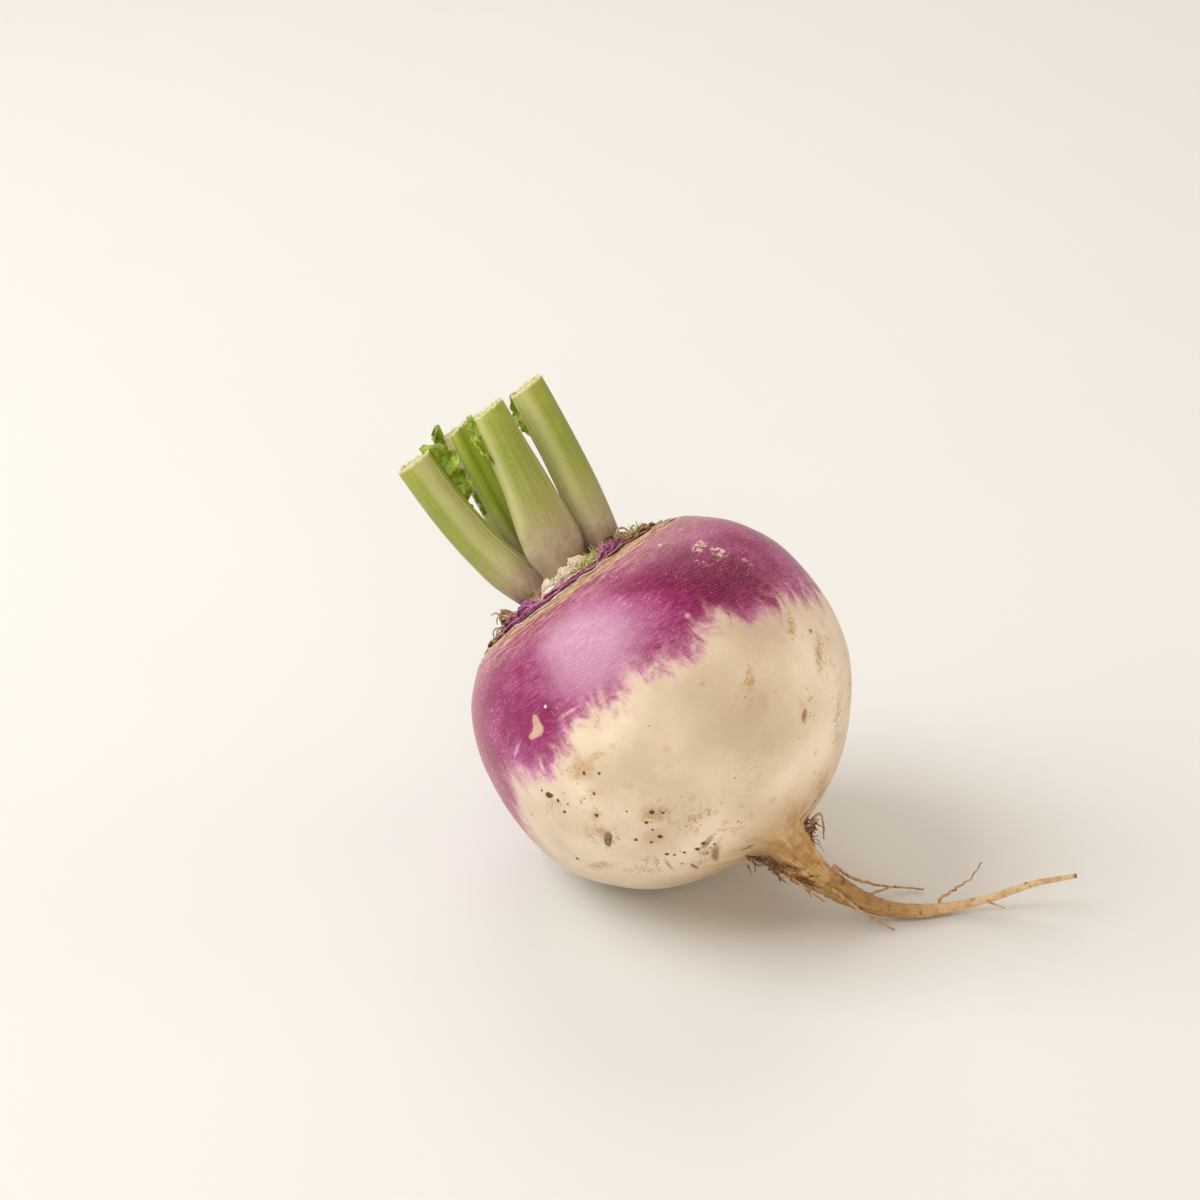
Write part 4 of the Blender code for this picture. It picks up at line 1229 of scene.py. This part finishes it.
scaleFinish = sheetMaterial("scalePurple", ((0.34, (0.13, 0.004, 0.045)), (0.46, (0.34, 0.03, 0.17)),
    (0.6, (0.66, 0.3, 0.54))), (0.84, 0.52, 0.78), (0.4, 0.08, 0.24), (5, 26, 1), 0.4)
huskFinish = sheetMaterial("huskTan", ((0.3, (0.12, 0.055, 0.028)), (0.48, (0.36, 0.21, 0.1)),
    (0.68, (0.62, 0.45, 0.25))), (0.66, 0.5, 0.3), (0.3, 0.16, 0.08), (22, 5, 1), 0.78)
darkHusk = sheetMaterial("huskDark", ((0.3, (0.045, 0.016, 0.016)), (0.5, (0.14, 0.06, 0.035)),
    (0.7, (0.38, 0.24, 0.11))), (0.42, 0.28, 0.14), (0.5, 0.36, 0.2), (22, 5, 1), 0.75)
stubFinish = sheetMaterial("stubCream", ((0.3, (0.56, 0.45, 0.32)), (0.5, (0.8, 0.71, 0.57)),
    (0.7, (0.9, 0.84, 0.73))), (0.86, 0.79, 0.66), (0.62, 0.48, 0.34), (60, 3, 1), 0.65)
paperFinish = sheetMaterial("paperTan", ((0.32, (0.3, 0.14, 0.07)), (0.48, (0.54, 0.33, 0.19)),
    (0.66, (0.72, 0.52, 0.34))), (0.72, 0.52, 0.34), (0.68, 0.48, 0.3), (1.2, 1.2, 1.2), 0.75)


def fuzzMaterial():
    material, tree, place = newMaterial("fuzzGreen")
    tone = clouds(place, 0.9, 3)
    colour = ramp(tone, ((0.35, (0.22, 0.22, 0.02)), (0.5, (0.42, 0.41, 0.08)), (0.65, (0.68, 0.62, 0.36))))
    tips = ranged(attribute(tree, "share"), 0.6, 1)
    colour = paint(tips * 0.5, colour, (0.55, 0.45, 0.22))
    return giveFinish(material, colour, ranged(tone, 0.3, 0.7, 0.6, 0.75), tone, 0.05)


buildStub(stubFinish, fuzzMaterial())
for number in range(1, 4):
    buildFlap(f"leaf_scale_{number}", number * 2.3, scaleFinish)
buildFlap("dry_husk_1", 11, huskFinish)
for number in range(2, 5):
    buildFlap(f"dry_husk_{number}", 10 + number, darkHusk)
buildRibbons("purple", scaleFinish)
buildRibbons("cream", stubFinish)
buildRibbons("brown", darkHusk)
buildRibbons("paper", paperFinish)
buildStrands(paperFinish)
buildCurls(huskFinish)
print("crown pieces done")


sideRoots = {
    # points as for the tap root, start radius
    "side_root_1": (((38.1, -20.8, 10.9), (41.3, -19.2, 7.2), (45.1, -17.5, 4.5), (49.8, -15.5, 2.1),
        (54.7, -14.3, 0.9), (59, -14.6, 0.6)), 0.5),
    "side_root_2": (((61.4, -22.3, 2.8), (64, -20.3, 3.5), (66.2, -19.2, 4.4), (68.9, -18.2, 5.9),
        (71.2, -16.7, 9.4)), 0.42),
    "side_root_3": (((37.3, -27.6, 8.9), (40.2, -28.5, 6.9), (43.3, -29.1, 4.4), (47.8, -29.5, 1.6),
        (51, -31.1, 0.6)), 0.5),
    "side_root_4": (((46.3, -22.6, 4.7), (49.3, -20.2, 4.2), (52.1, -18.8, 4.4)), 0.4),
    "side_root_5": (((72.7, -23.7, 3), (74, -24.8, 3.1), (75.4, -26.2, 3.3)), 0.36),
    "side_root_6": (((28.1, -27.7, 12), (30.1, -28.4, 10.8), (32.7, -28.9, 8.8), (35.2, -28.8, 6.6)), 0.45),
    "side_root_7": (((33.1, -15.7, 20), (35, -14.6, 20.5), (35.7, -14.9, 17.6), (35.8, -15.9, 14.6)), 0.4),
    "steps": 9, "tipShare": 0.4, "slimness": 0.86, "wander": 0.34, "sides": 10,
}


tapRootLine = through([onGround(p[:3]) for p in bulb["tapRoot"]], 8)


def buildSideRoot(name, seed, material):
    points, radius = sideRoots[name]
    path = through([onGround(p) for p in points], sideRoots["steps"])
    # a side root starts on the centre line of the tap root and grows out of it
    first = min(tapRootLine, key=lambda spot: (spot - path[0]).length)
    path = [first] + path
    radii = []
    for index, point in enumerate(path):
        share = index / (len(path) - 1)
        sway = Vector([ripple(index * 0.31, axis * 7, seed) for axis in range(3)])
        point += sway * sideRoots["wander"] * mm * smoothStep(0, 0.2, share)
        point.z = max(point.z, restSpot.z + 0.0005)
        thick = sideRoots["slimness"] * radius * (1 - (1 - sideRoots["tipShare"]) * share)
        knob = 1 + 0.22 * ripple(index * 0.6, seed, 0)
        radii.append(thick * knob)
    bm, layers = newMesh()
    addTube(bm, layers, path, radii, sideRoots["sides"])
    piece = name.replace("side_root_", "sideRoot")
    return finishPiece(bm, piece, material, [name])


hairs = {
    # curled dark rootlets at the neck: centre on the ground frame, spread, heading, count, length
    # and how far the heading is kept
    "neckTop": ((31.9, -20.6, 19.8), (1.5, 1.2, 3.4), (0.45, 0.1, -0.9), 52, 5.2, 0.9),
    "neckBelow": ((20, -28.4, 17.2), (2.6, 0.8, 1.1), (0.95, 0.05, -0.5), 26, 4.6, 2.6),
    "neckMiddle": ((25, -28, 15.2), (2.4, 0.8, 1.1), (0.9, 0.1, -0.55), 22, 5.6, 2.8),
    "neckLow": ((30, -27, 11.8), (2.4, 0.8, 1), (0.9, 0.1, -0.6), 14, 6, 3),
    "radius": (0.11, 0.26),
}


def buildHairs(name, seed, material):
    centre, spread, heading, count, length, kept = hairs[name]
    chance = random.Random(seed)
    bm, layers = newMesh()
    for number in range(count):
        start = Vector([c + chance.uniform(-s, s) for c, s in zip(centre, spread)])
        way = Vector(heading) * kept + jitter(chance, 0.9)
        reach = length * chance.uniform(0.35, 1)
        points = [start]
        for step in range(4):
            way += jitter(chance, 0.8)
            points.append(points[-1] + way.normalized() * reach / 4)
        path = through([onGround((p.x, p.y, max(p.z, 0.5))) for p in points], 4)
        thick = chance.uniform(*hairs["radius"])
        addTube(bm, layers, path, tapered(thick, 0.6, path), 5)
    return finishPiece(bm, name + "Hairs", material)


def rootMaterial(name, stops, tint, roughness):
    material, tree, place = newMaterial(name)
    tone = clouds(place, 0.7, 4, 0.65)
    fine = clouds(place, 3)
    tips = ranged(attribute(tree, "share"), 0.86, 1)
    colour = layered(ramp(tone, stops), (
        (ranged(fine, 0.5, 0.75, 0, 0.5), tint),
        (tips * 0.6, (0.14, 0.06, 0.025))))
    rough = ranged(fine, 0.3, 0.7, roughness - 0.08, roughness + 0.08)
    return giveFinish(material, colour, rough, tone + fine, 0.12)


rootFinish = rootMaterial("rootletTan", ((0.32, (0.25, 0.12, 0.045)), (0.5, (0.47, 0.28, 0.125)),
    (0.68, (0.62, 0.42, 0.22))), (0.2, 0.09, 0.035), 0.7)
hairFinish = rootMaterial("hairDark", ((0.32, (0.07, 0.028, 0.01)), (0.52, (0.2, 0.095, 0.035)),
    (0.7, (0.5, 0.32, 0.15))), (0.06, 0.025, 0.012), 0.75)
for number in range(1, 8):
    buildSideRoot(f"side_root_{number}", number * 3, rootFinish)
for number, name in enumerate([key for key in hairs if key.startswith("neck")]):
    buildHairs(name, 5 + number, hairFinish)
print("side roots and hairs done")


studio = {
    "floorSize": 6.4, "floorColour": (0.684, 0.682, 0.666), "floorRough": 0.6,
    "world": (1, 0.84, 0.69), "worldStrength": 0.57,
    "backdrop": (1.5, 1.44, 1.33),  # what shows beyond the floor, before the world's strength
    # light: direction from the bulb, distance in m, size in m, power in W, colour
    "lights": {
        "keySoftbox": ((-0.71, -0.03, 0.7), 1.45, 1.05, 20, (0.94, 0.985, 1)),
        "rightSoftbox": ((0.95, 0.12, 0.28), 1.3, 0.7, 2.6, (1, 0.92, 0.82)),
        "frontFill": ((0.12, -1, 0.28), 3, 1.56, 28.8, (1, 0.95, 0.88)),
        "backSoftbox": ((0, 1, 0.8), 2.6, 1.6, 18, (1, 0.99, 0.97)),
    },
    "lens": 85, "sensor": 36, "elevation": 27, "distance": 633.9,
    "aimRight": -14.1, "aimUp": 22.6,  # the aim, seen from the camera, from the bulb's middle
}


def buildFloor():
    bm = bmesh.new()
    bmesh.ops.create_grid(bm, x_segments=1, y_segments=1, size=studio["floorSize"] / 2)
    bmesh.ops.translate(bm, verts=bm.verts, vec=(0, 0, restSpot.z))
    mesh = bpy.data.meshes.new("floor")
    bm.to_mesh(mesh)
    bm.free()
    floor = addObject("floor", mesh)
    material, tree = newMaterial("floorPale", 0.3)[:2]
    tone = clouds(results(tree, "TexCoord")["Object"], 9)
    shade = tuple(c * 0.97 for c in studio["floorColour"])
    colour = paint(tone, studio["floorColour"], shade)
    shader = tree.nodes["Principled BSDF"]
    tree.links.new(colour.socket, shader.inputs["Base Color"])
    shader.inputs["Roughness"].default_value = studio["floorRough"]
    mesh.materials.append(material)


def addLight(name, direction, distance, size, power, colour):
    data = bpy.data.lights.new(name, "AREA")
    data.shape = "SQUARE"
    data.size = size
    data.energy = power
    data.color = colour
    light = addObject(name, data)
    direction = Vector(direction).normalized()
    light.location = bulbMiddle + direction * distance
    light.rotation_euler = direction.to_track_quat("Z", "Y").to_euler()


def addCamera():
    data = bpy.data.cameras.new("camera")
    data.lens = studio["lens"]
    data.sensor_width = studio["sensor"]
    camera = addObject("camera", data)
    elevation = radians(studio["elevation"])
    back = Vector((0, -cos(elevation), sin(elevation)))
    up = Vector((0, sin(elevation), cos(elevation)))
    aim = bulbMiddle + (Vector((studio["aimRight"], 0, 0)) + up * studio["aimUp"]) * mm
    camera.location = aim + back * studio["distance"] * mm
    camera.rotation_euler = back.to_track_quat("Z", "Y").to_euler()
    bpy.context.scene.camera = camera


def setWorld():
    world = bpy.data.worlds.new("studio")
    world.use_nodes = True
    tree = world.node_tree
    background = tree.nodes["Background"]
    seen = results(tree, "LightPath")["Is Camera Ray"]
    backdrop = paint(seen, studio["world"], studio["backdrop"])
    tree.links.new(backdrop.socket, background.inputs["Color"])
    background.inputs["Strength"].default_value = studio["worldStrength"]
    bpy.context.scene.world = world
    bpy.context.scene.view_settings.view_transform = "Standard"


buildFloor()
for name, settings in studio["lights"].items():
    addLight(name, *settings)
addCamera()
setWorld()
print("studio done")
